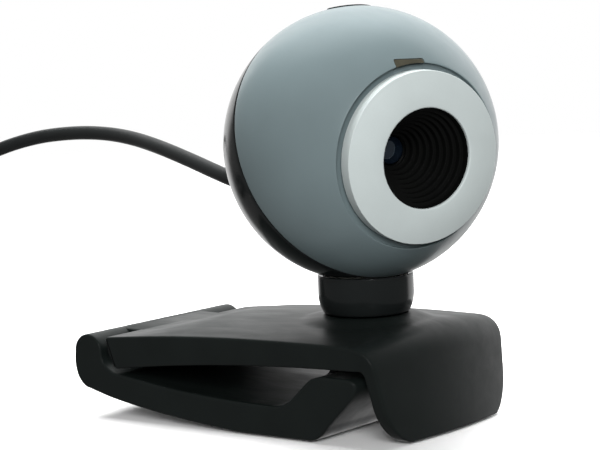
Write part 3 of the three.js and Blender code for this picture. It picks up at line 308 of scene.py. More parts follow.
def arc(centre, radius, start, end, steps):
    """Points of a circular arc, angles in degrees."""
    t = np.radians(np.linspace(start, end, steps + 1))
    return np.stack([centre[0] + radius * np.cos(t), centre[1] + radius * np.sin(t)], axis=-1)


def bezier(a, b, c, steps):
    """(1-t)2 a + 2t(1-t) b + t2 c."""
    a, b, c = (np.asarray(p, float) for p in (a, b, c))
    t = np.linspace(0, 1, steps + 1).reshape((-1,) + (1,) * a.ndim)
    return (1 - t) ** 2 * a + 2 * t * (1 - t) * b + t**2 * c


def rounded(corners, radii, steps=4):
    """A polyline whose inner corners are cut back by their radius and rounded with a quadratic curve."""
    corners = np.asarray(corners, float)
    out = [corners[:1]]
    for before, corner, after, radius in zip(corners[:-2], corners[1:-1], corners[2:], radii):
        if radius <= 0:
            out.append(corner[None])
            continue
        to_a, to_b = before - corner, after - corner
        la, lb = np.linalg.norm(to_a), np.linalg.norm(to_b)
        cut = min(radius, 0.49 * la, 0.49 * lb)
        out.append(bezier(corner + to_a / la * cut, corner, corner + to_b / lb * cut, steps))
    out.append(corners[-1:])
    return np.concatenate(out)


def turned(profile, segments=96):
    """A profile of (radius, height) turned round Z: (r cos a, r sin a, h)."""
    profile = np.asarray(profile, float)
    turn = np.linspace(0, 2 * np.pi, segments + 1)
    turn[-1] = 0
    r, h = profile[:, :1], profile[:, 1:]
    return spread(r * np.cos(turn), r * np.sin(turn), h * np.ones_like(turn))


def thinned(profile, step):
    """The same polyline with points no further apart than step."""
    profile = np.asarray(profile, float)
    gaps = np.linalg.norm(np.diff(profile, axis=0), axis=1)
    parts = [
        profile[i]
        + (profile[i + 1] - profile[i])
        * np.linspace(0, 1, max(1, math.ceil(gap / step)), endpoint=False)[:, None]
        for i, gap in enumerate(gaps)
    ]
    return np.concatenate([*parts, profile[-1:]])


def moved(points, matrix):
    m = np.array(matrix)
    return points @ m[:3, :3].T + m[:3, 3]


def neck_place():
    ball = sizes().ball
    return Matrix.Translation((0, 0, ball.height)) @ Matrix.Rotation(ball.turn, 4, "Z")


def head_place():
    return neck_place() @ Matrix.Rotation(sizes().ball.nod, 4, "X")


def lens_lathe(profile, segments=128):
    """A profile of (radius, distance ahead) turned round the lens axis, and put in place on the head."""
    points = turned(profile, segments)
    ahead = Matrix.Rotation(math.radians(90), 4, "X")
    return moved(points, head_place() @ ahead)


# ---------------------------------------------------------------- finishes
class Nodes:
    """Short ways to add shader nodes to one material."""

    def __init__(self, name):
        self.material = bpy.data.materials.new(name)
        self.material.use_nodes = True
        self.tree = self.material.node_tree
        self.shader = self.tree.nodes["Principled BSDF"]
        self.place = self.add("ShaderNodeTexCoord").outputs["Object"]

    def add(self, kind, **values):
        node = self.tree.nodes.new(kind)
        for key, value in values.items():
            setattr(node, key, value)
        return node

    def link(self, source, target):
        self.tree.links.new(source, target)

    def noise(self, size, detail=3.0, roughness=0.5, at=None, distortion=0.0):
        """Noise whose lumps are about size metres across."""
        node = self.add("ShaderNodeTexNoise")
        node.inputs["Scale"].default_value = 1 / size
        node.inputs["Detail"].default_value = detail
        node.inputs["Roughness"].default_value = roughness
        node.inputs["Distortion"].default_value = distortion
        self.link(at or self.place, node.inputs["Vector"])
        return node.outputs["Fac"]

    def stretched(self, x, y, z):
        node = self.add("ShaderNodeMapping")
        node.inputs["Scale"].default_value = (x, y, z)
        self.link(self.place, node.inputs["Vector"])
        return node.outputs["Vector"]

    def span(self, source, low, high, start=0.3, end=0.7):
        """source between start and end becomes low to high."""
        node = self.add("ShaderNodeMapRange")
        for key, value in zip(("From Min", "From Max", "To Min", "To Max"), (start, end, low, high)):
            node.inputs[key].default_value = value
        self.link(source, node.inputs["Value"])
        return node.outputs["Result"]

    def sum(self, a, b, share=1.0):
        node = self.add("ShaderNodeMath", operation="MULTIPLY_ADD")
        self.link(b, node.inputs[0])
        node.inputs[1].default_value = share
        self.link(a, node.inputs[2])
        return node.outputs["Value"]

    def tint(self, source, dark, light):
        """A colour between dark and light as source goes from 0 to 1."""
        node = self.add("ShaderNodeMix", data_type="RGBA")
        node.inputs["A"].default_value = (*dark, 1)
        node.inputs["B"].default_value = (*light, 1)
        colour_in, colour_out = node.inputs["Factor"], node.outputs["Result"]
        self.link(source, colour_in)
        self.link(colour_out, self.shader.inputs["Base Color"])

    def bump(self, height, depth, strength=1.0):
        node = self.add("ShaderNodeBump")
        node.inputs["Strength"].default_value = strength
        node.inputs["Distance"].default_value = depth
        self.link(height, node.inputs["Height"])
        self.link(node.outputs["Normal"], self.shader.inputs["Normal"])

    def rough(self, source, low, high):
        self.link(self.span(source, low, high), self.shader.inputs["Roughness"])

    def set(self, **values):
        for key, value in values.items():
            self.shader.inputs[key.replace("_", " ")].default_value = value


def scaled(rgb, factor):
    return tuple(min(1.0, c * factor) for c in rgb)


_finishes = {}


def finish(name):
    """Each finish is made once, by the function of its name."""
    if name not in _finishes:
        _finishes[name] = MAKERS[name]()
    return _finishes[name]


def moulded(name, rgb, roughness, grain, grain_depth, wave_depth, variation=0.06, level=0.5, coat=0.0):
    """Moulded plastic: a long slight flow wave and a fine grain in the relief, faint mottling of the
    colour, wiped streaks in the roughness."""
    n = Nodes(name)
    mottle = n.noise(0.009, 4)
    n.tint(n.span(mottle, 0, 1), scaled(rgb, 1 - variation), scaled(rgb, 1 + variation))
    streaks = n.noise(0.004, 5, 0.6, at=n.stretched(1, 0.25, 1), distortion=0.4)
    n.rough(streaks, roughness * 0.85, roughness * 1.15)
    n.bump(n.sum(n.noise(0.014, 1), n.noise(grain, 2), grain_depth / wave_depth), wave_depth)
    n.set(Specular_IOR_Level=level, Coat_Weight=coat, Coat_Roughness=0.12)
    return n.material


def shell_grey():
    """Blue-grey painted plastic with a soft gloss and a very slight orange peel."""
    shell = tuple(sizes().finishes.shell)
    return moulded("grey_gloss", shell, 0.36, 0.0012, 3e-6, 2.2e-5, 0.025, 0.5, 0.25)


def gloss_black():
    gloss = tuple(sizes().finishes.gloss_black)
    return moulded("black_gloss", gloss, 0.17, 0.0010, 1e-6, 1.6e-5, 0.08, 0.4)


def satin_black():
    """Satin black: fine spark-eroded grain."""
    satin = tuple(sizes().finishes.satin_black)
    return moulded("black_satin", satin, 0.4, 0.00032, 9e-6, 1.2e-5, 0.1, 0.35)


def matt_black():
    return moulded("black_matt", (0.003, 0.0032, 0.003), 0.5, 0.0004, 6e-6, 1e-5, 0.12, 0.2)


def pale_silver():
    """Silver-grey paint: tiny flakes lighten it here and there."""
    n = Nodes("pale_silver")
    ring = tuple(sizes().finishes.ring)
    flakes = n.add("ShaderNodeTexVoronoi")
    flakes.inputs["Scale"].default_value = 1 / 0.00016
    n.link(n.place, flakes.inputs["Vector"])
    shine = n.sum(n.noise(0.006, 3), flakes.outputs["Distance"], 0.35)
    n.tint(n.span(shine, 0, 1, 0.3, 1.0), scaled(ring, 0.965), scaled(ring, 1.035))
    n.rough(n.noise(0.003, 4), 0.3, 0.4)
    n.bump(n.noise(0.0007, 2), 5e-6)
    n.set(Specular_IOR_Level=0.5, Coat_Weight=0.15, Coat_Roughness=0.15)
    return n.material


def smoked_window():
    """Smoked clear plastic: dark, polished, with faint haze."""
    n = Nodes("smoked_window")
    rgb = tuple(sizes().finishes.window)
    n.tint(n.span(n.noise(0.0025, 3), 0, 1), scaled(rgb, 0.85), scaled(rgb, 1.15))
    n.rough(n.noise(0.0008, 4), 0.08, 0.18)
    n.set(Coat_Weight=1.0, Coat_Roughness=0.05)
    return n.material


def rubber():
    """Soft black rubber with a fine dull grain."""
    n = Nodes("pad_rubber")
    rgb = tuple(sizes().finishes.rubber)
    n.tint(n.span(n.noise(0.003, 4), 0, 1), scaled(rgb, 0.85), scaled(rgb, 1.2))
    n.rough(n.noise(0.0015, 4), 0.6, 0.78)
    n.bump(n.noise(0.0003, 3), 1.4e-5)
    n.set(Specular_IOR_Level=0.35)
    return n.material


def jacket():
    """Cable jacket: satin skin with faint marks drawn out along the cable."""
    n = Nodes("cable_jacket")
    uv = n.add("ShaderNodeTexCoord").outputs["UV"]
    drawn = n.add("ShaderNodeMapping")
    drawn.inputs["Scale"].default_value = (14, 260, 1)
    n.link(uv, drawn.inputs["Vector"])
    marks = n.noise(1.0, 4, at=drawn.outputs["Vector"])
    rgb = tuple(sizes().finishes.rubber)
    n.tint(n.span(marks, 0, 1), scaled(rgb, 0.9), scaled(rgb, 1.25))
    n.rough(marks, 0.38, 0.52)
    n.bump(n.noise(0.0006, 3), 1.2e-5)
    n.set(Specular_IOR_Level=0.45)
    return n.material


def strap():
    """Woven strap: crossing ribs of yarn."""
    n = Nodes("tie_fabric")
    waves = []
    for direction in ("X", "Y"):
        wave = n.add("ShaderNodeTexWave", wave_type="BANDS", bands_direction=direction)
        wave.inputs["Scale"].default_value = 700
        wave.inputs["Distortion"].default_value = 1.5
        n.link(n.place, wave.inputs["Vector"])
        waves.append(wave.outputs["Fac"])
    weave = n.sum(waves[0], waves[1])
    n.tint(n.span(weave, 0, 1, 0.2, 1.8), (0.006, 0.006, 0.007), (0.03, 0.03, 0.032))
    n.rough(n.noise(0.001, 3), 0.75, 0.95)
    n.bump(weave, 8e-5)
    n.set(Sheen_Weight=0.3, Sheen_Roughness=0.5)
    return n.material


def steel():
    """Plated steel with fine turning lines."""
    n = Nodes("steel")
    lines = n.noise(0.0012, 4, at=n.stretched(1, 12, 12))
    n.tint(n.span(lines, 0, 1), (0.42, 0.43, 0.45), (0.6, 0.61, 0.62))
    n.rough(lines, 0.22, 0.38)
    n.bump(lines, 4e-6)
    n.set(Metallic=1.0)
    return n.material


def lens_glass():
    """Coated optical glass: dark inside, with a blue-green bloom in its reflection."""
    n = Nodes("lens_glass")
    n.tint(n.span(n.noise(0.002, 2), 0, 1), (0.004, 0.007, 0.012), (0.012, 0.018, 0.026))
    n.rough(n.noise(0.0006, 2), 0.015, 0.04)
    n.set(IOR=1.7, Coat_Weight=1.0, Coat_Roughness=0.02, Coat_IOR=1.6, Coat_Tint=(0.75, 0.85, 1.0, 1))
    n.set(Specular_Tint=(0.7, 0.9, 1.0, 1))
    return n.material


def board_green():
    """Solder mask over copper tracks."""
    n = Nodes("board_green")
    tracks = n.add("ShaderNodeTexBrick", offset=0.35)
    tracks.inputs["Scale"].default_value = 420
    tracks.inputs["Mortar Size"].default_value = 0.03
    n.link(n.place, tracks.inputs["Vector"])
    n.tint(tracks.outputs["Fac"], (0.008, 0.06, 0.02), (0.02, 0.13, 0.05))
    n.rough(n.noise(0.002, 3), 0.3, 0.45)
    n.bump(tracks.outputs["Fac"], 3e-5)
    return n.material


def chip_black():
    return moulded("chip_black", (0.012, 0.012, 0.013), 0.55, 0.0004, 8e-6, 8e-6, 0.15, 0.4)


def white_plastic():
    return moulded("white_plastic", (0.72, 0.71, 0.66), 0.45, 0.0005, 4e-6, 1e-5, 0.04)


def led_resin():
    return moulded("led_green", (0.1, 0.45, 0.13), 0.15, 0.0006, 2e-6, 6e-6, 0.06, 0.5, 1.0)


MAKERS = {
    "grey_gloss": shell_grey,
    "black_gloss": gloss_black,
    "black_satin": satin_black,
    "black_matt": matt_black,
    "pale_silver": pale_silver,
    "smoked_window": smoked_window,
    "lens_glass": lens_glass,
    "steel": steel,
    "board_green": board_green,
    "chip_black": chip_black,
    "pad_rubber": rubber,
    "cable_jacket": jacket,
    "tie_fabric": strap,
    "white_plastic": white_plastic,
    "led_green": led_resin,
}


# ---------------------------------------------------------------- cable
CORD_ROUTE = np.array([
    (22.6, 57.5, 50.7), (29.7, 75.5, 54), (36, 91.5, 56.7),
    (42, 106.6, 58.5), (46.2, 121, 59.4), (48.9, 136, 59.2), (49.8, 151, 57.7), (49, 165.5, 54.3),
    (46, 179.5, 48.6), (41, 192, 41), (34, 203, 32.2), (25.2, 212, 23), (15, 218.5, 14.4),
    (4.2, 222, 7.6), (-6.4, 222.4, 3.2), (-16.6, 218.6, 1.95), (-25.6, 209.9, 1.95),
]) * MM
TAIL_ROUTE = np.array([
    (-32.9, 190, 9.5), (-33.2, 183, 8.6), (-33.6, 176, 6.6), (-34, 169, 4.9), (-34.2, 162, 4.3),
]) * MM
COIL_CENTRE = np.array([-2, 190]) * MM
LEAD_LENGTH = 0.04  # part of the cable next to the ball, made as a piece of its own


def cable_exit():
    """Where the cable leaves the back of the ball, and its direction there."""
    ball = sizes().ball
    reach = ball.radius - 0.7 * MM
    where = (0, reach * math.cos(ball.exit_drop), -reach * math.sin(ball.exit_drop))
    return Matrix.Translation(where) @ Matrix.Rotation(ball.exit_rise, 4, "X")


def free_route():
    """The free stretch's points: two along the strain relief's axis, then the ones it passes through."""
    start = [tuple(head_place() @ cable_exit() @ Vector((0, reach, 0))) for reach in (15.1 * MM, 26 * MM)]
    return np.concatenate([start, CORD_ROUTE])


def smooth_line(points, step):
    """A centripetal-like Catmull-Rom curve through the points: on each span the cubic whose end slopes are
    half the difference of the neighbours, sampled about every step."""
    p = np.concatenate([2 * points[:1] - points[1:2], points, 2 * points[-1:] - points[-2:-1]])
    out = []
    for a, b, c, d in zip(p[:-3], p[1:-2], p[2:-1], p[3:]):
        count = max(2, math.ceil(np.linalg.norm(c - b) / step))
        t = np.linspace(0, 1, count, endpoint=False)[:, None]
        square, cube = 2 * a - 5 * b + 4 * c - d, 3 * b - a - 3 * c + d
        out.append(0.5 * (2 * b + (c - a) * t + square * t**2 + cube * t**3))
    return np.concatenate([*out, points[-1:]])


def coil_line():
    """The coil's middle line, by the angle it has gone round.

    Each layer holds turns side by side, inwards and then outwards again. In one sector of every turn the
    radius shifts by a diameter, and in the sector before it the last turn of a layer climbs by a diameter.
    At the end the cable humps over the outer turns and leaves at the side.
    """
    cable = sizes().cable
    d, count = cable.diameter, cable.turns
    entry = math.degrees(math.atan2(*(free_route()[-1, :2] - COIL_CENTRE)[::-1]))
    shift, climb = 60.0, 60.0
    inner = cable.coil_inner
    rows = [inner + d * (count - 1 - i) for i in range(count)]
    radii = rows + rows[::-1] + rows[:3]
    layers = [0] * count + [1] * count + [2] * 3
    heights = [d * (0.5 + layer) for layer in layers]
    begin_radius = float(np.hypot(*(free_route()[-1, :2] - COIL_CENTRE)))
    degrees = np.arange(0, 360 * len(radii) - 140 + 1, 5.0)
    turn = np.minimum((degrees // 360).astype(int), len(radii) - 1)
    into = degrees - 360 * turn
    before = np.array([begin_radius] + radii[:-1])
    r = before[turn] + (np.array(radii)[turn] - before[turn]) * ease(into / shift)
    nxt = np.array(heights[1:] + heights[-1:])
    z = np.array(heights)[turn] + (nxt[turn] - np.array(heights)[turn]) * ease((into - 360 + climb) / climb)
    line = spread(COIL_CENTRE[0] + r * np.cos(np.radians(entry + degrees)),
                  COIL_CENTRE[1] + r * np.sin(np.radians(entry + degrees)), z)
    leave_angle = 180.0 + 360 * len(radii)
    last = entry + degrees[-1]
    over = np.linspace(0, 1, 40)[1:-1]
    r_over = radii[-1] + (begin_radius - radii[-1]) * ease((over - 0.12) / 0.88)
    z_over = heights[-1] + d * 1.02 * ease(over / 0.3) * (1 - ease((over - 0.78) / 0.22))
    turn_over = np.radians(last + (leave_angle - last) * over)
    x_over = COIL_CENTRE[0] + r_over * np.cos(turn_over)
    y_over = COIL_CENTRE[1] + r_over * np.sin(turn_over)
    hump = spread(x_over, y_over, z_over)
    return np.concatenate([line[1:], hump])


def relaxed(line, rounds):
    """Each inner point moved halfway to the middle of its neighbours, a few times."""
    for _ in range(rounds):
        line = np.concatenate([line[:1], line[1:-1] / 2 + (line[:-2] + line[2:]) / 4, line[-1:]])
    return line


def even(line, step):
    """The same line with equal steps along its length."""
    along = np.concatenate([[0], np.cumsum(np.linalg.norm(np.diff(line, axis=0), axis=1))])
    s = np.linspace(0, along[-1], max(2, round(along[-1] / step)) + 1)
    return np.stack([np.interp(s, along, line[:, k]) for k in range(3)], axis=-1)


def line_length(line):
    return float(np.linalg.norm(np.diff(line, axis=0), axis=1).sum())


def tube(line, radius, sides=20):
    """A circle carried along the line. Its frame turns only with the line: each tangent's rotation from the
    last one carries the circle's first arm on, and both ends close to a point."""
    tangent = np.gradient(line, axis=0)
    tangent /= np.linalg.norm(tangent, axis=1)[:, None]
    arm = np.zeros_like(line)
    first = np.cross(tangent[0], UP)
    arm[0] = first / np.linalg.norm(first)
    for i in range(1, len(line)):
        carried = arm[i - 1] - tangent[i] * (arm[i - 1] @ tangent[i])
        arm[i] = carried / np.linalg.norm(carried)
    other = np.cross(tangent, arm)
    turn = np.linspace(0, 2 * np.pi, sides + 1)
    turn[-1] = 0
    across = arm[:, None] * np.cos(turn)[:, None] + other[:, None] * np.sin(turn)[:, None]
    wall = line[:, None] + radius * across
    start = np.repeat(line[:1, None], sides + 1, axis=1)
    end = np.repeat(line[-1:, None], sides + 1, axis=1)
    return np.concatenate([start, wall, end])


def cable_line():
    """The whole middle line, from the strain relief's tip to the plug."""
    free = smooth_line(free_route(), 2.2 * MM)
    tail = smooth_line(TAIL_ROUTE, 1.5 * MM)
    wound = relaxed(np.concatenate([free[-3:], coil_line(), tail[:3]]), 6)
    return np.concatenate([free[:-3], wound, tail[3:]])


class WEBCAM_OT_cable(bpy.types.Operator):
    """Makes the cable: the lead at the ball and the free stretch with its coil"""

    bl_idname = "webcam.cable"
    bl_label = "Cable"

    def execute(self, context):
        cable = sizes().cable
        line = even(cable_line(), 2.4 * MM)
        steps = np.concatenate([[0], np.cumsum(np.linalg.norm(np.diff(line, axis=0), axis=1))])
        part = int(np.searchsorted(steps, LEAD_LENGTH))
        lead, rest = line[: part + 1], line[part:]
        radius = cable.diameter / 2
        lead_piece = new_object(surface_mesh("cable_lead", [tube(even(lead, 1 * MM), radius, 24)]))
        finish_piece(lead_piece, finish("cable_jacket"), sharp=60)
        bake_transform(lead_piece)
        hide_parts("cord")
        line_length(lead)
        piece = new_object(surface_mesh("cable", [tube(rest, radius, 20)]))
        finish_piece(piece, finish("cable_jacket"), sharp=60)
        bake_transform(piece)
        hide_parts("cord", "cord_coil", "cord_tail")
        cable.total - line_length(lead)
        print("CABLE", round(line_length(line), 4), "lead", round(line_length(lead), 4))
        return {"FINISHED"}


class WEBCAM_OT_strap(bpy.types.Operator):
    """Makes the strap that holds the coil: a band bent over it, with its free end lapped on top"""

    bl_idname = "webcam.strap"
    bl_label = "Strap"

    def execute(self, context):
        low, high = (np.array(corner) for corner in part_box("cord_tie"))
        thick = 0.8 * MM
        corners = [(low[1], 0), (low[1], high[2]), (high[1], high[2]), (high[1], 0)]
        outer = rounded(corners, [3.4 * MM, 3.4 * MM], 8)
        inset = [(low[1] + thick, 0), (low[1] + thick, high[2] - thick),
                 (high[1] - thick, high[2] - thick), (high[1] - thick, 0)]
        inner = rounded(inset, [2.7 * MM, 2.7 * MM], 8)
        band = band_surface(outer, inner, low[0], high[0])
        top = np.array([(low[1] + 4 * MM, high[2] - 0.1 * MM), (high[1] - 5 * MM, high[2] - 0.1 * MM)])
        lap_outer, lap_inner = top + [0, 0.75 * MM], top
        lap = band_surface(lap_outer, lap_inner, low[0] + 0.4 * MM, high[0] - 0.4 * MM)
        piece = new_object(surface_mesh("cable_strap", [band, lap]))
        finish_piece(piece, finish("tie_fabric"), "root", ["cord_tie"])
        return {"FINISHED"}


def band_surface(outer, inner, x_low, x_high):
    """A band between two matching lines in (y, z), from x_low to x_high, closed at its ends: at each step
    the section is a rectangle with its corners cut."""
    edge = 0.22 * MM
    across = np.array([x_low, x_low + edge, x_high - edge, x_high, x_high, x_high - edge, x_low + edge,
                       x_low, x_low])
    share = np.array([0.3, 0, 0, 0.3, 0.7, 1, 1, 0.7, 0.3])
    flat = outer[:, None] + (inner - outer)[:, None] * share[:, None]
    points = np.concatenate([np.broadcast_to(across[None, :, None], flat.shape[:2] + (1,)), flat], axis=-1)
    ends = []
    for row in (points[0], points[-1]):
        ends.append(np.broadcast_to(row.mean(axis=0), row.shape)[None])
    return np.concatenate([ends[0], points, ends[1]])


def rounded_bar(centre_x, centre_z, stations):
    """A bar along Y: at each station (y, half width, half height, power) the section is the superellipse
    (|cos|^(2/p) w, |sin|^(2/p) h), and it closes to a point at both ends."""
    turn = np.linspace(0, 2 * np.pi, 97)
    turn[-1] = 0
    c, s = np.cos(turn), np.sin(turn)
    rows = []
    for y, w, h, p in stations:
        x = centre_x + w * np.sign(c) * np.abs(c) ** (2 / p)
        z = centre_z + h * np.sign(s) * np.abs(s) ** (2 / p)
        rows.append(spread(x, np.full_like(x, y), z))
    return np.stack(rows)


class WEBCAM_OT_plug(bpy.types.Operator):
    """Makes the plug: grip with finger ribs and metal sleeve with its two windows"""

    bl_idname = "webcam.plug"
    bl_label = "Plug"

    def execute(self, context):
        low, high = (np.array(corner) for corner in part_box("plug_grip"))
        x, z = (low[0] + high[0]) / 2, (low[2] + high[2]) / 2
        w, h = (high[0] - low[0]) / 2, (high[2] - low[2]) / 2
        front, back = low[1], high[1]
        ys = np.linspace(0, 1, 90)
        ribbed = (ys > 0.35) & (ys < 0.8)
        rib = 0.22 * MM * ease(np.abs(np.sin((ys - 0.35) / 0.45 * np.pi * 5)) * 3 - 1.6) * ribbed
        nose = 0.5 * MM * (1 - ease(ys / 0.04))
        waist = 1.6 * MM * ease((ys - 0.72) / 0.28)
        cord_radius = sizes().cable.diameter / 2
        stations = [(front, 0, 0, 2)]
        for t, r, n, t_waist in zip(ys, rib, nose, waist):
            half_width, half_height = w - r - n - t_waist, h - r - n - 0.5 * t_waist
            stations.append((front + (back - front) * 0.97 * t, half_width, half_height, 5 - 2.2 * t))
        stations += [(back - 0.2 * MM, cord_radius + 0.5 * MM, cord_radius + 0.4 * MM, 2), (back, 0, 0, 2)]
        grip = new_object(surface_mesh("plug_body", [rounded_bar(x, z, stations)]))
        _, shell_high = (np.array(corner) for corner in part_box("plug_shell"))
        shell_low = np.array(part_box("plug_shell")[0])
        sw, sh = (shell_high[0] - shell_low[0]) / 2, (shell_high[2] - shell_low[2]) / 2
        room, mouth, seat = 0.25 * MM, front - 1 * MM, front + 3.9 * MM
        pocket = rounded_bar(x, z, [(mouth, 0, 0, 12), (mouth, sw + room, sh + room, 12),
                                    (seat, sw + room, sh + room, 12), (seat, 0, 0, 12)])
        carve(grip, [surface_mesh("pocket", [pocket])])
        finish_piece(grip, finish("pad_rubber"), "root", ["plug_grip"])
        tip, heel = shell_low[1], shell_high[1]
        wall = 0.35 * MM
        tube_rows = [(tip + 0.15 * MM, sw, sh, 14), (heel, sw, sh, 14), (heel, sw - wall, sh - wall, 14),
                     (tip + 0.15 * MM, sw - wall, sh - wall, 14),
                     (tip, sw - wall * 0.7, sh - wall * 0.7, 14),
                     (tip, sw - wall * 0.3, sh - wall * 0.3, 14), (tip + 0.15 * MM, sw, sh, 14)]
        sleeve = new_object(surface_mesh("plug_sleeve", [rounded_bar(x, z, tube_rows)]))
        holes = []
        for side in (-1, 1):
            through = rounded_bar_up(x + side * 2.9 * MM, tip + 6.2 * MM, 1.15 * MM, 1.3 * MM,
                                     z - 5 * MM, z + 5 * MM)
            holes.append(surface_mesh("hole", [through]))
        carve(sleeve, holes)
        finish_piece(sleeve, finish("steel"), "root", ["plug_shell"])
        return {"FINISHED"}


def rounded_bar_up(x, y, w, l, bottom, top):
    """An upright bar with a rounded square section, |cos|^(2/p) w by |sin|^(2/p) l."""
    bar = rounded_bar(0, 0, [(bottom, 0, 0, 8), (bottom, w, l, 8), (top, w, l, 8), (top, 0, 0, 8)])
    return np.stack([bar[..., 0] + x, bar[..., 2] + y, bar[..., 1]], axis=-1)


class WEBCAM_OT_relief(bpy.types.Operator):
    """Makes the strain relief: a tapered, slotted sleeve along the cable's way out of the ball"""

    bl_idname = "webcam.relief"
    bl_label = "Strain relief"

    def execute(self, context):
        along_y = Matrix.Rotation(math.radians(-90), 4, "X")
        cord_radius = sizes().cable.diameter / 2
        t = np.linspace(0, 1, 120)
        y = 3.6 * MM + (14.6 - 3.6) * MM * t
        r = 3.45 * MM + (cord_radius + 0.75 * MM - 3.45 * MM) * ease(t * 0.95 + 0.02)
        slotted = (t > 0.08) & (t < 0.96)
        slots = 0.42 * MM * ease((np.sin(2 * np.pi * (t * 5 - 0.25)) - 0.35) * 3) * slotted
        sleeve = np.stack([r - slots, y], axis=-1)
        root_corners = [(0, -7 * MM), (3.6 * MM, -7 * MM), (3.6 * MM, 3.2 * MM), (3.45 * MM, 3.6 * MM)]
        root = rounded(root_corners, [0.4 * MM, 0.3 * MM])
        tip = rounded([sleeve[-1], (cord_radius + 0.7 * MM, 15 * MM), (0, 15 * MM)], [0.35 * MM])
        profile = np.concatenate([root[:-1], sleeve, tip[1:]])
        points = moved(turned(profile, 48), head_place() @ cable_exit() @ along_y)
        piece = new_object(surface_mesh("strain_relief", [points]))
        finish_piece(piece, finish("pad_rubber"), "head", ["cord_relief"])
        return {"FINISHED"}


# ---------------------------------------------------------------- ball
def seam_frame():
    """The seam's outward normal, the side it shares with the lens axis and the third direction."""
    lean = sizes().ball.seam_lean
    normal = np.array([0, -math.cos(lean), math.sin(lean)])
    side = np.array([1.0, 0, 0])
    return normal, side, np.cross(normal, side)


def round_turn(count):
    turn = np.linspace(0, 2 * np.pi, count + 1)
    turn[-1] = 0
    return turn


class WEBCAM_OT_front_shell(bpy.types.Operator):
    """Makes the front shell: sphere between the ring's groove and the seam, both edges rounded"""

    bl_idname = "webcam.front_shell"
    bl_label = "Front shell"

    def execute(self, context):
        ball = sizes().ball
        big, inside = ball.radius, ball.radius - ball.wall
        opening = ball.ring_radius + ball.groove
        turn = round_turn(240)
        ahead = np.array([0, -1.0, 0])
        across = spread(np.cos(turn), 0 * turn, 0 * turn) + spread(0 * turn, 0 * turn, np.sin(turn))
        normal, side, third = seam_frame()
        back = ball.seam_back - ball.seam_gap / 2

        def lens_ring(r, d):
            return ahead * d + across * r

        def seam_ring(rho):
            """Circle where the seam's plane cuts the sphere of radius rho, matched by angle."""
            circle = side * np.cos(turn)[:, None] + third * np.sin(turn)[:, None]
            return -normal * back + math.sqrt(rho**2 - back**2) * circle

        def between(a, b, share):
            """Great-circle steps from ring a to ring b: sin((1-t)w)/sin w a + sin(tw)/sin w b."""
            size = np.linalg.norm(a[0])
            w = np.arccos(np.clip((a * b).sum(-1) / size**2, -1, 1))[:, None]
            return (np.sin((1 - share) * w) * a + np.sin(share * w) * b) / np.sin(w)

        edge_d = math.sqrt(big**2 - opening**2)
        first, last = lens_ring(opening, edge_d), seam_ring(big)
        soft = 0.35 * MM
        reach = soft / np.linalg.norm(last - first, axis=1)[:, None]
        outer = [between(first, last, t * (1 - 2 * reach) + reach) for t in np.linspace(0, 1, 70)]
        groove_edge = bezier(lens_ring(opening, edge_d - soft), first, outer[0], 5)[1:-1]
        seam_inner = last + (seam_ring(inside) - last) * (soft / ball.wall)
        seam_edge = bezier(outer[-1], last, seam_inner, 5)[1:-1]
        collar = opening + 1.2 * MM
        inner_d = math.sqrt(inside**2 - collar**2)
        inner = [between(seam_ring(inside), lens_ring(collar, inner_d), t) for t in np.linspace(0, 1, 24)]
        floor = ball.groove_floor
        bottom = rounded([(collar, floor - 1.2 * MM), (ball.ring_hub + 0.4 * MM, floor - 1.2 * MM),
                          (ball.ring_hub + 0.4 * MM, floor), (opening, floor), (opening, edge_d - soft)],
                         [0, 0.1 * MM, 0.3 * MM], 3)
        collar_rows = [lens_ring(r, d) for r, d in bottom]
        rows = [*outer, *seam_edge, seam_inner, *inner, *collar_rows, *groove_edge, outer[0]]
        points = moved(np.stack(rows), head_place())
        piece = new_object(surface_mesh("ball_front", [points]))
        carve(piece, [window_mesh("cut", 0.12 * MM, 5.9), button_mesh("cut", 0.22 * MM, 30)])
        finish_piece(piece, finish("grey_gloss"), "head", ["front_shell"], sharp=40)
        return {"FINISHED"}


def disc_block(outline, centre, surface, soft, depth):
    """A block whose face follows a surface: points slide from the outline's centre to its edge, over a
    rounded edge and down by depth. outline(t) gives the edge, surface(u, v) gives the face's height."""
    shares = np.linspace(0, 1, 22)
    size = np.linalg.norm(outline - centre, axis=1).mean()
    flat = centre + (outline - centre)[None] * (shares * (1 - soft / size))[:, None, None]
    face = np.concatenate([flat, surface(flat)[..., None]], axis=-1)
    theta = np.linspace(0, np.pi / 2, 5)[1:]
    rim2d = centre + (outline - centre)[None] * (1 - soft / size * (1 - np.sin(theta)))[:, None, None]
    rim_height = surface(rim2d) - soft * (1 - np.cos(theta))[:, None]
    rim = np.concatenate([rim2d, rim_height[..., None]], axis=-1)
    foot = rim[-1:].copy()
    foot[..., 2] = surface(rim2d[-1:]) - depth
    low = foot.copy()
    low[..., :2] = centre
    low[..., 2] = foot[..., 2].mean()
    return np.concatenate([face, rim, foot, low])


